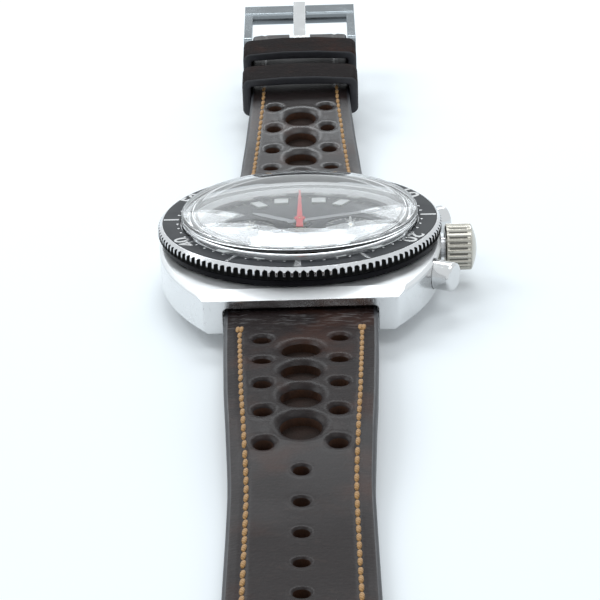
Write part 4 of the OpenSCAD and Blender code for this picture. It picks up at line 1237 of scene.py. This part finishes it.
@dataclass(frozen=True)
class CrystalDress:
    """The domed crystal, turned from its profile, with gap between it and what holds it."""

    dome_rise: float = 2.0
    skirt: float = 1.2
    ceiling: float = 12.15
    ceiling_rise: float = 1.8
    corner: float = 0.55
    gap: float = 0.02
    turns: int = 160
    fine: int = 36
    round_n: int = 6

    def _dome(self, radius: float, rise: float, top: float) -> Points:
        """Points of an arc from the axis out to a radius.

        Args:
            radius: where the arc ends.
            rise: how far it falls until there.
            top: height of its apex.

        Returns:
            Points as radius and height.
        """
        ball = (radius**2 + rise**2) / (2 * rise)
        outs = [radius * i / self.fine for i in range(self.fine + 1)]
        return [(x, top - ball + math.sqrt(ball**2 - x**2)) for x in outs]

    def _corner(self, x: float, z: float) -> Points:
        """A quarter round about x, z from its top outwards and down."""
        angles = [math.radians(90 - 90 * i / self.round_n) for i in range(self.round_n + 1)]
        return [(x + self.corner * math.cos(a), z + self.corner * math.sin(a)) for a in angles]

    def profile(self) -> Points:
        """The outline from the apex over the outside and back to the axis inside.

        Returns:
            Points as radius and height.
        """
        low, high = (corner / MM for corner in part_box("crystal"))
        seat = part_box("mid_case")[1].z / MM + self.gap
        flange, apex, base = high.x, high.z, low.z + self.gap
        rim = apex - self.dome_rise
        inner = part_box("crystal_ring")[1].x / MM + self.gap / 2
        skirt = inner + self.skirt
        outside = self._dome(flange - self.corner, self.dome_rise, apex)
        outside += self._corner(flange - self.corner, rim - self.corner)[1:]
        outside += [(flange, seat), (skirt, seat), (skirt, base)]
        side = self.ceiling - self.ceiling_rise - self.corner
        inside = [(inner, base), *reversed(self._corner(inner - self.corner, side))]
        inside += reversed(self._dome(inner - self.corner, self.ceiling_rise, self.ceiling)[:-1])
        return outside + inside

    def make(self) -> None:
        """Spins the profile into the crystal."""
        points = self.profile()
        take()
        bpy.ops.mesh.primitive_circle_add(vertices=len(points), radius=1.0, fill_type="NOTHING")
        piece = started("domed_crystal")
        with editing(piece, "EDGE") as mesh:
            mesh.verts.ensure_lookup_table()
            for corner, (x, z) in zip(mesh.verts, points):
                corner.co = (x * MM, 0, z * MM)
            last = mesh.verts[len(points) - 1]
            pick(mesh.edges, lambda edge: mesh.verts[0] in edge.verts and last in edge.verts)
            bpy.ops.mesh.delete(type="EDGE")
            bpy.ops.mesh.select_all(action="SELECT")
            bpy.ops.mesh.spin(steps=self.turns, angle=2 * math.pi, center=(0, 0, 0), axis=(0, 0, 1))
        mend(piece)
        smooth(piece, 40)
        dressed(piece, "case", Glass.CRYSTAL)
        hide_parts("crystal")


class Glass(Enum):
    """Clear finishes."""

    CRYSTAL = Acrylic("clear_acrylic", (0.98, 0.99, 1.0), 0.0)


@dataclass(frozen=True)
class BezelDress:
    """Bare metal marks on the black insert: dots, bars and plain numbers."""

    spin: float = 0.14
    dot_r: float = 16.82
    dot_d: float = 0.36
    bar_in: float = 16.62
    bar_out: float = 18.74
    bar_w: float = 0.42
    wide_w: tuple[float, float] = (0.7, 1.0)
    number_r: float = 17.66
    number_size: tuple[float, float] = (3.5, 2.15)
    lift: float = 0.05
    sunk: float = 0.02
    numbers: tuple[int, ...] = (10, 20, 40, 50)
    bars: tuple[int, ...] = (5, 15, 25, 35, 45, 55)
    wide_bars: tuple[int, ...] = (0, 30)

    def _top(self) -> float:
        """Height at which the marks are sunk into the insert's face."""
        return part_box("bezel_insert")[1].z / MM - self.sunk

    def _dots(self) -> Piece:
        """A low round dot at every minute that has no bar or number.

        Returns:
            The dots as one piece.
        """
        take()
        bpy.ops.mesh.primitive_circle_add(vertices=12, radius=self.dot_d / 2 * MM, fill_type="NGON")
        dot = started("dot")
        with editing(dot) as mesh:
            pick(mesh.faces, lambda face: True)
            raised(0.6 * self.lift)
            bpy.ops.mesh.inset(thickness=self.lift * MM, depth=0.4 * self.lift * MM)
            outwards()
        at = Matrix.Translation(Vector((0, self.dot_r, self._top())) * MM)
        places = [clockwise(m + self.spin) @ at for m in range(60) if m % 5]
        return copies(dot, places, "bezel_dots")

    def _bars(self) -> Piece:
        """Narrow bars, and wider ones that flare outwards at 0 and 30.

        Returns:
            The bars as one piece.
        """
        rows = []
        inner, outer = self.bar_in, self.bar_out
        for minutes, near, far in ((self.bars, self.bar_w, self.bar_w), (self.wide_bars, *self.wide_w)):
            outline = [(-near / 2, inner), (near / 2, inner), (far / 2, outer), (-far / 2, outer)]
            block = flat_block("bar", outline, self._top(), self.lift)
            rows.append(copies(block, [clockwise(m + self.spin) for m in minutes], "bezel_bars"))
        return joined(rows, "bezel_bars")

    def _numbers(self) -> Piece:
        """The numbers, tops outwards, reading clockwise.

        Returns:
            The numbers as one piece.
        """
        made = []
        for number in self.numbers:
            at = (0, self.number_r, self._top())
            made.append(numeral(str(number), self.number_size, at, self.lift))
            made[-1].data.transform(clockwise(number + self.spin))
        return joined(made, "bezel_numbers")

    def make(self) -> None:
        """Sets all marks into the insert."""
        for piece in (self._dots(), self._bars(), self._numbers()):
            dressed(piece, "bezel", Metal.MARK)


@dataclass(frozen=True)
class DialDress:
    """Printing on the dial and the two small dials."""

    track_in: float = 13.3
    track_out: float = 13.9
    tick_w: float = 0.1
    fifth_w: float = 0.18
    fifth_in: float = 0.25
    ink: float = 0.012
    small_x: float = 7.0
    small_in: float = 3.05
    small_out: float = 3.6
    small_number_r: float = 2.35
    small_number: tuple[float, float] = (1.3, 0.95)
    small_sink: float = 0.08

    def _ticks(self, name: str, count: int, near: float, far: float, z: float) -> Piece:
        """A ring of printed ticks, every fifth longer and wider.

        Args:
            name: the piece's name.
            count: how many ticks.
            near: radius where they start.
            far: radius where they end.
            z: height of the face they lie on.

        Returns:
            The ticks as one piece.
        """
        made = []
        for fifth, w, start in ((False, self.tick_w, near), (True, self.fifth_w, near - self.fifth_in)):
            outline = [(-w / 2, start), (w / 2, start), (w / 2, far), (-w / 2, far)]
            block = flat_block("tick", outline, z, self.ink)
            which = [i for i in range(count) if (i % 5 == 0) == fifth]
            made.append(copies(block, [clockwise(60 * i / count) for i in which], name))
        return joined(made, name)

    def make(self) -> None:
        """Prints the minute track and both small dials."""
        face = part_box("dial")[1].z / MM
        low, r = face - self.small_sink, self.small_number_r
        pieces = [self._ticks("minute_track", 60, self.track_in, self.track_out, face)]
        for side, digits in ((-1, ("60", "20", "40")), (1, ("30", "10", "20"))):
            name = f"small_dial_track_{digits[0]}"
            marks = [self._ticks(name, 30, self.small_in, self.small_out, low)]
            for spot, text in enumerate(digits):
                a = math.radians(360 / len(digits) * spot)
                at = (r * math.sin(a), r * math.cos(a), low)
                marks.append(numeral(text, self.small_number, at, self.ink))
            pieces.append(joined(marks, name))
            pieces[-1].data.transform(Matrix.Translation((side * self.small_x * MM, 0, 0)))
        for piece in pieces:
            dressed(piece, "case", Paint.WHITE)


# Strap


def slope(table: Stops, i: int) -> float:
    """Slope of a table's curve at its i-th stop, with no overshoot.

    Args:
        table: pairs of distance and value.
        i: number of the stop.

    Returns:
        The slope.
    """
    if i in (0, len(table) - 1):
        return 0.0
    a = (table[i][1] - table[i - 1][1]) / (table[i][0] - table[i - 1][0])
    b = (table[i + 1][1] - table[i][1]) / (table[i + 1][0] - table[i][0])
    return 0.0 if a * b <= 0 else 2 * a * b / (a + b)


def curve(table: Stops, s: float) -> float:
    """Smooth curve through a table's stops.

    Args:
        table: pairs of distance and value.
        s: distance.

    Returns:
        The value at that distance.
    """
    i = max(k for k in range(len(table) - 1) if k == 0 or s >= table[k][0])
    h = table[i + 1][0] - table[i][0]
    t = min(1.0, max(0.0, (s - table[i][0]) / h))
    a, b = table[i][1], table[i + 1][1]
    ma, mb = slope(table, i) * h, slope(table, i + 1) * h
    lead = (2 * t**3 - 3 * t**2 + 1) * a + (t**3 - 2 * t**2 + t) * ma
    return lead + (3 * t**2 - 2 * t**3) * b + (t**3 - t**2) * mb


def soft_step(t: float) -> float:
    """0 below 0, 1 above 1, and a smooth rise between."""
    t = min(1.0, max(0.0, t))
    return t * t * (3 - 2 * t)


@dataclass(frozen=True)
class Hole:
    """A punched hole, by distance from the bar and from the middle line.

    Ring and reach count the grid's cells from its middle to its edge and to the last that bends round
    it. Roll and sink are the width and depth of its rounded shoulder, and lip is the rise beyond that.
    """

    s: float
    u: float
    radius: float
    ring: int
    reach: int
    roll: float = 0.6
    sink: float = 0.3
    lip: float = 0.06

    def rise(self, x: float, s: float) -> float:
        """Rise or fall of the leather about the hole.

        Args:
            x: distance from the hole's middle across the strap.
            s: distance along it.

        Returns:
            The height to add to the face.
        """
        gap = math.hypot(x, s - self.s) - self.radius
        if gap > 4 * self.roll:
            return 0.0
        swell = self.lip * math.exp(-(((gap - 1.3 * self.roll) / (0.5 * self.roll)) ** 2))
        return swell - self.sink * max(0.0, 1 - max(0.0, gap) / self.roll) ** 2


@dataclass(frozen=True)
class StrapHalf:
    """One half of the strap, drawn from its spring bar outwards: s runs along it and x across.

    Top and thick are tables of the height of its face and of its thickness. The perforations start at
    perf_start, in pairs perf_x off the middle with large holes between them. The edge is pressed down
    and painted, the seam runs in a groove, and uneven is how much the leather sways and folds. Spread
    and ease say how the grid bends round a hole. A face closer to the side than rim belongs to the edge,
    raw_in is how far from the ends the holes' walls and the upper's back are raw, and steep is the
    height of a normal that parts walls from faces.
    """

    name: str
    body: str
    way: int
    length: float
    top: Stops
    thick: Stops
    perf_start: float
    adjust_start: float = 45.8
    adjust_n: int = 0
    adjust_step: float = 6.5
    tip_l: float = 0.0
    end_bar_z: float = 0.0
    slot_s: float = 0.0
    slot_half_w: float = 1.65
    widths: Stops = ((0, 20), (26, 18.6), (37, 17.5), (52, 16.4), (140, 16.4))
    bar_y: float = 18.9
    bar_z: float = 3.2
    loop_r: float = 1.75
    end_loop_r: float = 1.55
    bar_bore: float = 1.66
    upper_t: float = 1.5
    lining_in: tuple[float, float] = (0.9, 1.2)
    cell: float = 0.3
    perf_step: float = 7.25
    perf_x: float = 4.65
    perf_pairs: int = 5
    small_d: float = 2.2
    big_d: float = 4.9
    adjust_d: float = 1.9
    tip_a: float = 72.0
    tip_half_w: float = 1.2
    edge_r: float = 0.5
    edge_gaps: tuple[float, ...] = (0.5, 0.36, 0.24, 0.14, 0.06, 0.0)
    end_gaps: tuple[float, ...] = (0.02, 0.06, 0.14, 0.28)
    pressed: float = 0.16
    groove: float = 0.14
    groove_w: float = 0.55
    uneven: float = 0.12
    fold_s: tuple[float, float] = (4.0, 10.0)
    glue: float = 0.004
    spread: float = 1.05
    ease: float = 1.25
    painted: float = 0.55
    rim: float = 0.1
    raw_in: tuple[float, float] = (3.0, 2.0)
    steep: float = 0.3
    seam: float = 2.1
    stitch_step: float = 1.8
    stitch_start: float = 7.8
    stitch_end: float = 140.0
    stitch_foot: float = 0.8
    stitch_half: tuple[float, float] = (0.29, 0.2)
    stitch_lift: tuple[float, float] = (0.1, 0.16)
    stitch_lean: float = 2.0
    double: float = 0.22

    # Shape of the half

    def half_width(self, s: float) -> float:
        """Half the strap's width at a distance, with the rounded point at a free tip.

        Args:
            s: distance from the bar.

        Returns:
            Half the width.
        """
        half = curve(self.widths, s) / 2
        into = s - (self.length - self.tip_l)
        if self.tip_l == 0 or into <= 0:
            return half
        full = math.radians(self.tip_a)
        a = math.asin(min(1.0, math.sin(full) * into / self.tip_l))
        fall = (1 - math.cos(a)) / (1 - math.cos(full))
        return half - (half - self.tip_half_w) * fall

    def _loops(self, s: float) -> Points:
        """Axis height and half height of each bar loop that s crosses.

        Args:
            s: distance from the bar.

        Returns:
            One pair for each loop.
        """
        axes = [(0.0, self.bar_z, self.loop_r)]
        if self.end_bar_z:
            axes.append((self.length, self.end_bar_z, self.end_loop_r))
        return [(z, math.sqrt(r * r - (s - c) ** 2)) for c, z, r in axes if abs(s - c) < r]

    def _plain_z(self, s: float, under: float = 0.0) -> list[float]:
        """Height of the face, or of a layer under it, where s lies between the bars."""
        between = -0.01 <= s <= self.length + 0.01
        return [curve(self.top, s) - under] if between else []

    def top_z(self, s: float) -> float:
        """Height of the top face."""
        return max([z + half for z, half in self._loops(s)] + self._plain_z(s))

    def seam_z(self, s: float) -> float:
        """Height of the face where upper and lining meet, which goes round under the loops."""
        return min([z - half for z, half in self._loops(s)] + self._plain_z(s, self.upper_t))

    def base_z(self, s: float) -> float:
        """Height of the underside."""
        return curve(self.top, s) - curve(self.thick, s)

    def spot(self, x: float, s: float, z: float) -> Vector:
        """A place in the frame, in metres."""
        return Vector((x, self.way * (self.bar_y + s), z)) * MM

    def holes(self) -> list[Hole]:
        """Pairs of small holes with a large one between each two pairs, then the adjusting holes.

        Returns:
            All holes of the upper.
        """
        made = []
        for i in range(self.perf_pairs):
            s = self.perf_start + i * self.perf_step
            r = self.small_d / 2
            made += [Hole(s, side * self.perf_x, r, ring=3, reach=7) for side in (-1, 1)]
        for i in range(self.perf_pairs - 1):
            s = self.perf_start + (i + 0.5) * self.perf_step
            shoulder = {"roll": 1.0, "sink": 0.45, "lip": 0.08}
            made.append(Hole(s, 0.0, self.big_d / 2, ring=7, reach=11, **shoulder))
        return made + self.adjusting()

    def adjusting(self) -> list[Hole]:
        """The row of holes for the buckle's tongue."""
        places = [self.adjust_start + i * self.adjust_step for i in range(self.adjust_n)]
        shape = {"radius": self.adjust_d / 2, "ring": 2, "reach": 6, "roll": 0.35, "sink": 0.16, "lip": 0.04}
        return [Hole(s, 0.0, **shape) for s in places]

    def relief(self, x: float, s: float) -> float:
        """Rise or fall of the upper's face against its plain height, away from the holes.

        Args:
            x: place across the strap.
            s: distance from the bar.

        Returns:
            The height to add to the face.
        """
        gap = self.half_width(s) - abs(x)
        fall = 0.0
        if gap < self.edge_r:
            fall += self.edge_r - math.sqrt(max(0.0, self.edge_r**2 - (self.edge_r - gap) ** 2))
        fall += self.pressed * soft_step(1 - gap / self.seam)
        fall += self.groove * soft_step(1 - abs(gap - self.seam) / self.groove_w)
        full, none = self.fold_s
        near = soft_step((none - s) / (none - full))
        sway = noise.noise(Vector((x * 0.16, s * 0.12, self.way * 3.0))) * soft_step(gap / 2)
        fold = noise.noise(Vector((x * 0.14, s * 0.9, 5.0 + self.way))) * near
        return self.uneven * (sway + fold) - fall

    # Grid of a layer

    def _lines(self, start: float, end: float, holes: Sequence[Hole], cell: float) -> list[float]:
        """Distances of the grid's cross lines, with a line through every hole's middle.

        Args:
            start: where the layer starts.
            end: where it ends.
            holes: the holes in it.
            cell: size of the grid's cells.

        Returns:
            The distances, in order, closer at both ends.
        """
        fixed = sorted({start, end, *(h.s for h in holes)})
        lines = [start]
        for a, b in zip(fixed, fixed[1:]):
            n = max(1, round((b - a) / cell))
            lines += [a + (b - a) * i / n for i in range(1, n + 1)]
        gaps = self.end_gaps
        lines = lines[:1] + [start + gap for gap in gaps if start + gap < lines[1]] + lines[1:]
        return lines[:-1] + [end - gap for gap in reversed(gaps) if end - gap > lines[-2]] + lines[-1:]

    def _across(self, cell: float) -> list[float]:
        """Places of the long lines at the width of the perforated part, from the middle out.

        Args:
            cell: size of the grid's cells.

        Returns:
            The places, closer towards the edge.
        """
        full = self.widths[1][1] / 2
        n = round(self.perf_x / cell)
        step = self.perf_x / n
        plain = [i * step for i in range(int((full - self.edge_gaps[0] - 0.1) / step) + 1)]
        fine = [full - gap for gap in self.edge_gaps]
        return plain + [x for x in fine if x > plain[-1] + 0.05]

    def layer(
        self, name: str, ends: tuple[float, float], holes: Sequence[Hole], upper: bool, cell: float
    ) -> Piece:
        """One layer of leather as a closed slab with its holes cut clean through.

        Args:
            name: the piece's name.
            ends: distances where the layer starts and ends.
            holes: the holes that pass through it.
            upper: whether it is the upper, whose face is shaped.
            cell: size of the grid's cells.

        Returns:
            The slab.
        """
        lines = self._lines(*ends, holes, cell)
        outs = self._across(cell)
        nx, ny = 2 * (len(outs) - 1), len(lines) - 1
        take()
        bpy.ops.mesh.primitive_grid_add(x_subdivisions=nx, y_subdivisions=ny, size=1.0)
        bpy.context.object.scale = (nx, ny, 1)
        piece = started(name)
        nearest = [min(range(ny + 1), key=lambda j: abs(lines[j] - h.s)) for h in holes]
        middle = [(round(h.u / outs[1]), j) for h, j in zip(holes, nearest)]
        slot = math.ceil(self.slot_half_w / (outs[1] * self.half_width(self.slot_s) / outs[-1]))
        with editing(piece) as mesh:
            for face in mesh.faces:
                c = face.calc_center_median()
                i, j = c.x, c.y + ny / 2
                cut = [max(abs(i - hi), abs(j - hj)) < h.ring for h, (hi, hj) in zip(holes, middle)]
                in_slot = self.slot_s and abs(i) < slot and lines[int(j)] + 1e-6 >= self.slot_s
                face.select_set(any(cut) or bool(in_slot))
            bpy.ops.mesh.delete(type="FACE")
            self._shape(mesh, lines, outs, list(zip(holes, middle)), upper)
            bpy.ops.mesh.select_all(action="SELECT")
            raised(-0.01)
            for corner in mesh.verts:
                if corner.select:
                    s = corner.co.y / MM * self.way - self.bar_y
                    corner.co.z = (self.seam_z(s) + self.glue if upper else self.base_z(s)) * MM
            outwards()
        return piece

    def _shape(
        self, mesh: bmesh.types.BMesh, lines: Sequence[float], outs: Sequence[float],
        holes: Sequence[tuple[Hole, tuple[int, int]]], upper: bool,
    ) -> None:
        """Moves the flat grid's corners to the layer's face, with round rings about the holes.

        Args:
            mesh: the flat grid, a unit to the cell.
            lines: distances of its cross lines.
            outs: places of its long lines.
            holes: each hole with the grid corner at its middle.
            upper: whether it is the upper.
        """
        full = outs[-1]
        half_n = (len(lines) - 1) / 2
        for corner in mesh.verts:
            i, j = round(corner.co.x), round(corner.co.y + half_n)
            s = lines[j]
            wide = self.half_width(s) / full
            x = math.copysign(outs[abs(i)], i) * wide
            dx = ds = 0.0
            for hole, (hi, hj) in holes:
                di, dj = i - hi, j - hj
                ring = max(abs(di), abs(dj))
                if ring > hole.reach or ring == 0:
                    continue
                away = (ring - hole.ring) / (hole.reach - hole.ring)
                angle = self._square_angle(di, dj)
                edge = hole.reach * outs[1] * self.spread
                r = hole.radius + (edge - hole.radius) * max(0.0, away) ** self.ease
                if ring < hole.ring:
                    r = hole.radius * ring / hole.ring
                round_x = hole.u * self.half_width(hole.s) / full + r * math.cos(angle)
                round_s = hole.s + r * math.sin(angle)
                share = 1 - soft_step(away)
                dx += (round_x - x) * share
                ds += (round_s - s) * share
            x, s = x + dx, s + ds
            z = self.seam_z(s) - self.glue
            if upper:
                rises = sum(h.rise(x - h.u * self.half_width(h.s) / full, s) for h, _ in holes)
                z = self.top_z(s) + self.relief(x, s) + rises
            corner.co = self.spot(x, s, z)

    @staticmethod
    def _square_angle(di: int, dj: int) -> float:
        """Angle of a grid corner about a hole when its square ring is spread evenly round.

        Args:
            di: cells from the hole's middle across the strap.
            dj: cells along it.

        Returns:
            The angle in radians.
        """
        n = max(abs(di), abs(dj))
        if abs(di) >= abs(dj):
            return math.pi / 4 * dj / n if di > 0 else math.pi - math.pi / 4 * dj / n
        return math.pi / 2 - math.pi / 4 * di / n if dj > 0 else -math.pi / 2 + math.pi / 4 * di / n

    def _bore(self, piece: Piece, s: float, z: float) -> None:
        """Cuts a round channel across the strap for a bar.

        Args:
            piece: the layer.
            s: distance of the bar.
            z: height of its axis.
        """
        take()
        depth = 1.5 * self.widths[0][1] * MM
        bpy.ops.mesh.primitive_cylinder_add(vertices=32, radius=self.bar_bore / 2 * MM, depth=depth)
        bpy.context.object.rotation_euler.y = math.pi / 2
        bpy.context.object.location = self.spot(0, s, z)
        cutter = started("cutter")
        modify(piece, "BOOLEAN", object=cutter, operation="DIFFERENCE", solver="EXACT")
        bpy.data.objects.remove(cutter)

    def _sort_faces(self, piece: Piece, upper: bool) -> None:
        """Gives faces their finish: 0 the face, 1 painted edge, 2 raw cut.

        Args:
            piece: the layer.
            upper: whether it is the upper.
        """
        hole_in, back_in = self.raw_in
        for face in piece.data.polygons:
            x, y = face.center.x / MM, face.center.y / MM
            s = y * self.way - self.bar_y
            inside = min(self.length, max(0.0, s))
            gap = self.half_width(inside) - abs(x)
            wall = abs(face.normal.z) < self.steep
            outer = gap < self.rim or (self.tip_l and s > self.length - self.rim)
            painted = outer and wall or (upper and gap < self.painted and face.normal.z > 0)
            raw = wall and hole_in < s < self.length - hole_in
            if upper:
                raw = raw or (face.normal.z < -self.steep and back_in < s < self.length - back_in)
            else:
                raw = raw or face.normal.z > self.steep
            face.material_index = 1 if painted else 2 if raw else 0

    # Stitching

    def _seam_path(self, n: int = 400) -> Points:
        """The stitched line on the side of +x, as x and s, followed round a free tip in n steps.

        Args:
            n: how many steps the edge is followed in.

        Returns:
            Points from the head on.
        """
        end = min(self.length, self.stitch_end)
        rim = [(self.half_width(end * i / n), end * i / n) for i in range(n + 1)]
        path = []
        for (x0, s0), (x1, s1) in zip(rim, rim[1:]):
            run = math.hypot(x1 - x0, s1 - s0)
            x = (x0 + x1) / 2 - self.seam * (s1 - s0) / run
            s = (s0 + s1) / 2 + self.seam * (x1 - x0) / run
            if x > 0.5 and s >= self.stitch_start and (not path or s > path[-1][1]):
                path.append((x, s))
        return path

    def _stitch_places(self, upper: bool) -> list[Matrix]:
        """Where each stitch lies: in line with the seam, sunk in its groove.

        Args:
            upper: whether the stitches lie on the face or the underside.

        Returns:
            A place for every stitch.
        """
        places = []
        walked, due = 0.0, 0.0
        path = self._seam_path()
        for (x0, s0), (x1, s1) in zip(path, path[1:]):
            walked += math.hypot(x1 - x0, s1 - s0)
            if walked < due:
                continue
            due += self.stitch_step
            rows = (0.0,) if s0 > self.stitch_start + self.stitch_step else (-self.double, self.double)
            drift = (x1 - x0) / (s1 - s0 + 1e-9)
            for side in (-1, 1):
                for shift in rows:
                    x = side * (x0 + shift)
                    tail, head = (
                        self.spot(x + side * way * drift, s0 + way, self._stitch_z(x, s0 + way, upper))
                        for way in (-self.stitch_foot, self.stitch_foot)
                    )
                    along = (head - tail).normalized()
                    across = along.cross(Vector((0, 0, 1 if upper else -1))).normalized()
                    turn = Matrix((across, along, across.cross(along))).transposed().to_4x4()
                    lean = Matrix.Rotation(math.radians(self.stitch_lean * side), 4, "Z")
                    places.append(Matrix.Translation((head + tail) / 2) @ turn @ lean)
        return places

    def _stitch_z(self, x: float, s: float, upper: bool) -> float:
        """Height of the thread's middle over a place on the seam."""
        over, under = self.stitch_lift
        return self.top_z(s) + self.relief(x, s) + over if upper else self.base_z(s) + under

    def _stitches(self) -> Piece:
        """One waxed stitch, modelled once and laid along the seams of both faces.

        Returns:
            All stitches as one piece.
        """
        take()
        turn = (math.pi / 2, 0, 0)
        bpy.ops.mesh.primitive_uv_sphere_add(segments=8, ring_count=6, radius=1.0, rotation=turn)
        stitch = started("stitch")
        wide, high = self.stitch_half
        with editing(stitch, "VERT") as mesh:
            for corner in mesh.verts:
                x, along, z = corner.co
                full = 1.0 + 0.3 * along**2
                corner.co.x = (x * wide * full + 0.05 * along) * MM
                corner.co.y = along * 0.5 * self.stitch_step * MM
                corner.co.z = (z * high * full - 0.16 * along**2) * MM
        smooth(stitch, 80)
        places = self._stitch_places(True) + self._stitch_places(False)
        return copies(stitch, places, f"{self.name}_stitching")

    def make(self) -> None:
        """Makes upper, lining and stitching, and lets them stand for the two CAD layers."""
        first = -self.loop_r + 0.001
        last = self.length + (self.end_loop_r - 0.001 if self.end_bar_z else 0.0)
        upper = self.layer(f"{self.name}_leather", (first, last), self.holes(), True, self.cell)
        under = (self.lining_in[0], self.length - (self.lining_in[1] if self.end_bar_z else 0.0))
        lining = self.layer(f"{self.name}_backing", under, self.adjusting(), False, 2 * self.cell)
        self._bore(upper, 0.0, self.bar_z)
        if self.end_bar_z:
            self._bore(upper, self.length, self.end_bar_z)
        for piece, face, cut in ((upper, Hide.UPPER, Hide.RAW), (lining, Hide.LINING, Hide.SPLIT)):
            self._sort_faces(piece, piece is upper)
            smooth(piece, 50)
            dressed(piece, self.body, face, Hide.EDGE, cut)
        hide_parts(f"{self.name}_upper")
        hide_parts(f"{self.name}_lining")
        dressed(self._stitches(), self.body, Hide.THREAD)


LONG_HALF = StrapHalf(
    "long", "long_strap", -1, 118.0,
    ((0, 4.95), (11, 4.85), (23, 5.3), (33, 5), (40, 4.25), (51, 3), (60, 2.5), (140, 2.5)),
    ((0, 3.5), (11, 3.3), (33, 2.7), (51, 2.5), (140, 2.5)),
    perf_start=11.2, adjust_n=7, tip_l=9.0,
)
SHORT_HALF = StrapHalf(
    "short", "short_strap", 1, 73.0,
    ((0, 4.95), (5, 4.9), (12, 4.45), (23, 3), (28, 3.35), (45, 6.05), (51, 6.9), (80, 11.1)),
    ((0, 3.5), (11, 3.2), (18, 3), (28, 3), (45, 2.5), (80, 2.5)),
    perf_start=16.3, end_bar_z=9.1176, slot_s=68.0, stitch_end=53.0,
)


@dataclass(frozen=True)
class KeeperDress:
    """A leather keeper, worked over a copy of its plain solid: rolled edges and a bowed top.

    Its inner sides, a wall's thickness in, move towards the strap by hug. The top's bow comes in over a
    share bow_z of the height, and edges sharper than crease, in degrees, are rolled.
    """

    node: str
    body: str
    edge: float = 0.32
    bow: float = 0.55
    bow_z: float = 0.35
    wall: float = 1.3
    hug: float = 0.12
    crease: float = 50.0

    def make(self) -> None:
        """Merges, bows and bevels the copy."""
        low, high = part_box(self.node)
        piece = node_copy(self.node, f"{self.node}_leather")
        take(piece)
        bpy.ops.mesh.customdata_custom_splitnormals_clear()
        with editing(piece, "VERT"):
            welded()
            bpy.ops.mesh.dissolve_limited(angle_limit=math.radians(1))
        limit = {"limit_method": "ANGLE", "angle_limit": math.radians(self.crease)}
        modify(piece, "BEVEL", width=self.edge * MM, segments=3, **limit)
        with editing(piece):
            bpy.ops.mesh.select_all(action="SELECT")
            bpy.ops.mesh.quads_convert_to_tris()
            bpy.ops.mesh.subdivide(number_cuts=2)
        half = high.x
        middle = (low.z + high.z) / 2
        for corner in piece.data.vertices:
            if abs(abs(corner.co.x) - half + self.wall * MM) < 2 * self.hug * MM:
                corner.co.x -= math.copysign(self.hug * MM, corner.co.x)
            lift = max(0.0, 1 - (corner.co.x / half) ** 2)
            rise = soft_step((corner.co.z - middle) / (self.bow_z * (high.z - low.z)))
            corner.co.z += self.bow * lift * rise * MM
        smooth(piece, self.crease)
        for face in piece.data.polygons:
            face.material_index = 1 if abs(face.normal.y) > 0.6 else 0
        dressed(piece, self.body, Hide.KEEPER, Hide.EDGE)
        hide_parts(self.node)


@dataclass(frozen=True)
class SpringDress:
    """A pusher's return spring: a copy of its solid with a mesh of its own, on the case.

    Side is 1 for the pusher towards 12, and the pusher points out at an angle from +X to that side.
    """

    node: str
    joint: str
    side: int
    angle: float = 29.0
    coil_r: float = 1.32
    travel: float = 0.8

    def make(self) -> None:
        """Copies the spring with a mesh of its own and hides the CAD spring."""
        piece = dressed(node_copy(self.node, f"{self.node}_coil"), "case", Metal.PLAIN)
        low, high = (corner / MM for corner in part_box(self.node))
        a = math.radians(self.angle)
        start, end = (
            (x + way * self.coil_r * math.sin(a)) / math.cos(a) for x, way in ((low.x, 1), (high.x, -1))
        )
        out = Vector((math.cos(a), self.side * math.sin(a), 0))
        seat = out * start + Vector((0, 0, (low.z + high.z) / 2))
        keep = 1 - self.travel / (end - start)
        tuple(seat * MM)
        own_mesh(piece)
        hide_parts(self.node)


def dress_nodes(nodes: dict[str, Piece]) -> None:
    """Gives every CAD node that stays in view its finish.

    Args:
        nodes: the CAD nodes by name.
    """
    for choice, names in NODE_FINISH.items():
        for name in names:
            held = nodes[name]
            if not held.material_slots:
                held.data.materials.append(None)
            for place in held.material_slots:
                place.material = finish(choice)


def corners(box: tuple[Vector, Vector]) -> list[list[float]]:
    """A box as plain lists of numbers."""
    return [list(corner) for corner in box]


def main() -> None:
    """Builds the scene round the frame."""
    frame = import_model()
    sizes = {"cad": corners(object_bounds())}
    PhotoView().make()
    Stage().make()
    dress_nodes(frame["nodes"])
    CrystalDress().make()
    BezelDress().make()
    DialDress().make()
    for half in (LONG_HALF, SHORT_HALF):
        half.make()
    SpringDress("start_spring", "start_press", 1).make()
    SpringDress("reset_spring", "reset_press", -1).make()
    KeeperDress("fixed_keeper", "short_strap").make()
    KeeperDress("free_keeper", "free_keeper").make()
    bpy.context.scene.view_settings.view_transform = "Standard"
    take()
    sizes["visual"] = corners(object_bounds())


if __name__ == "__main__":
    logging.basicConfig(level=logging.INFO)
    main()
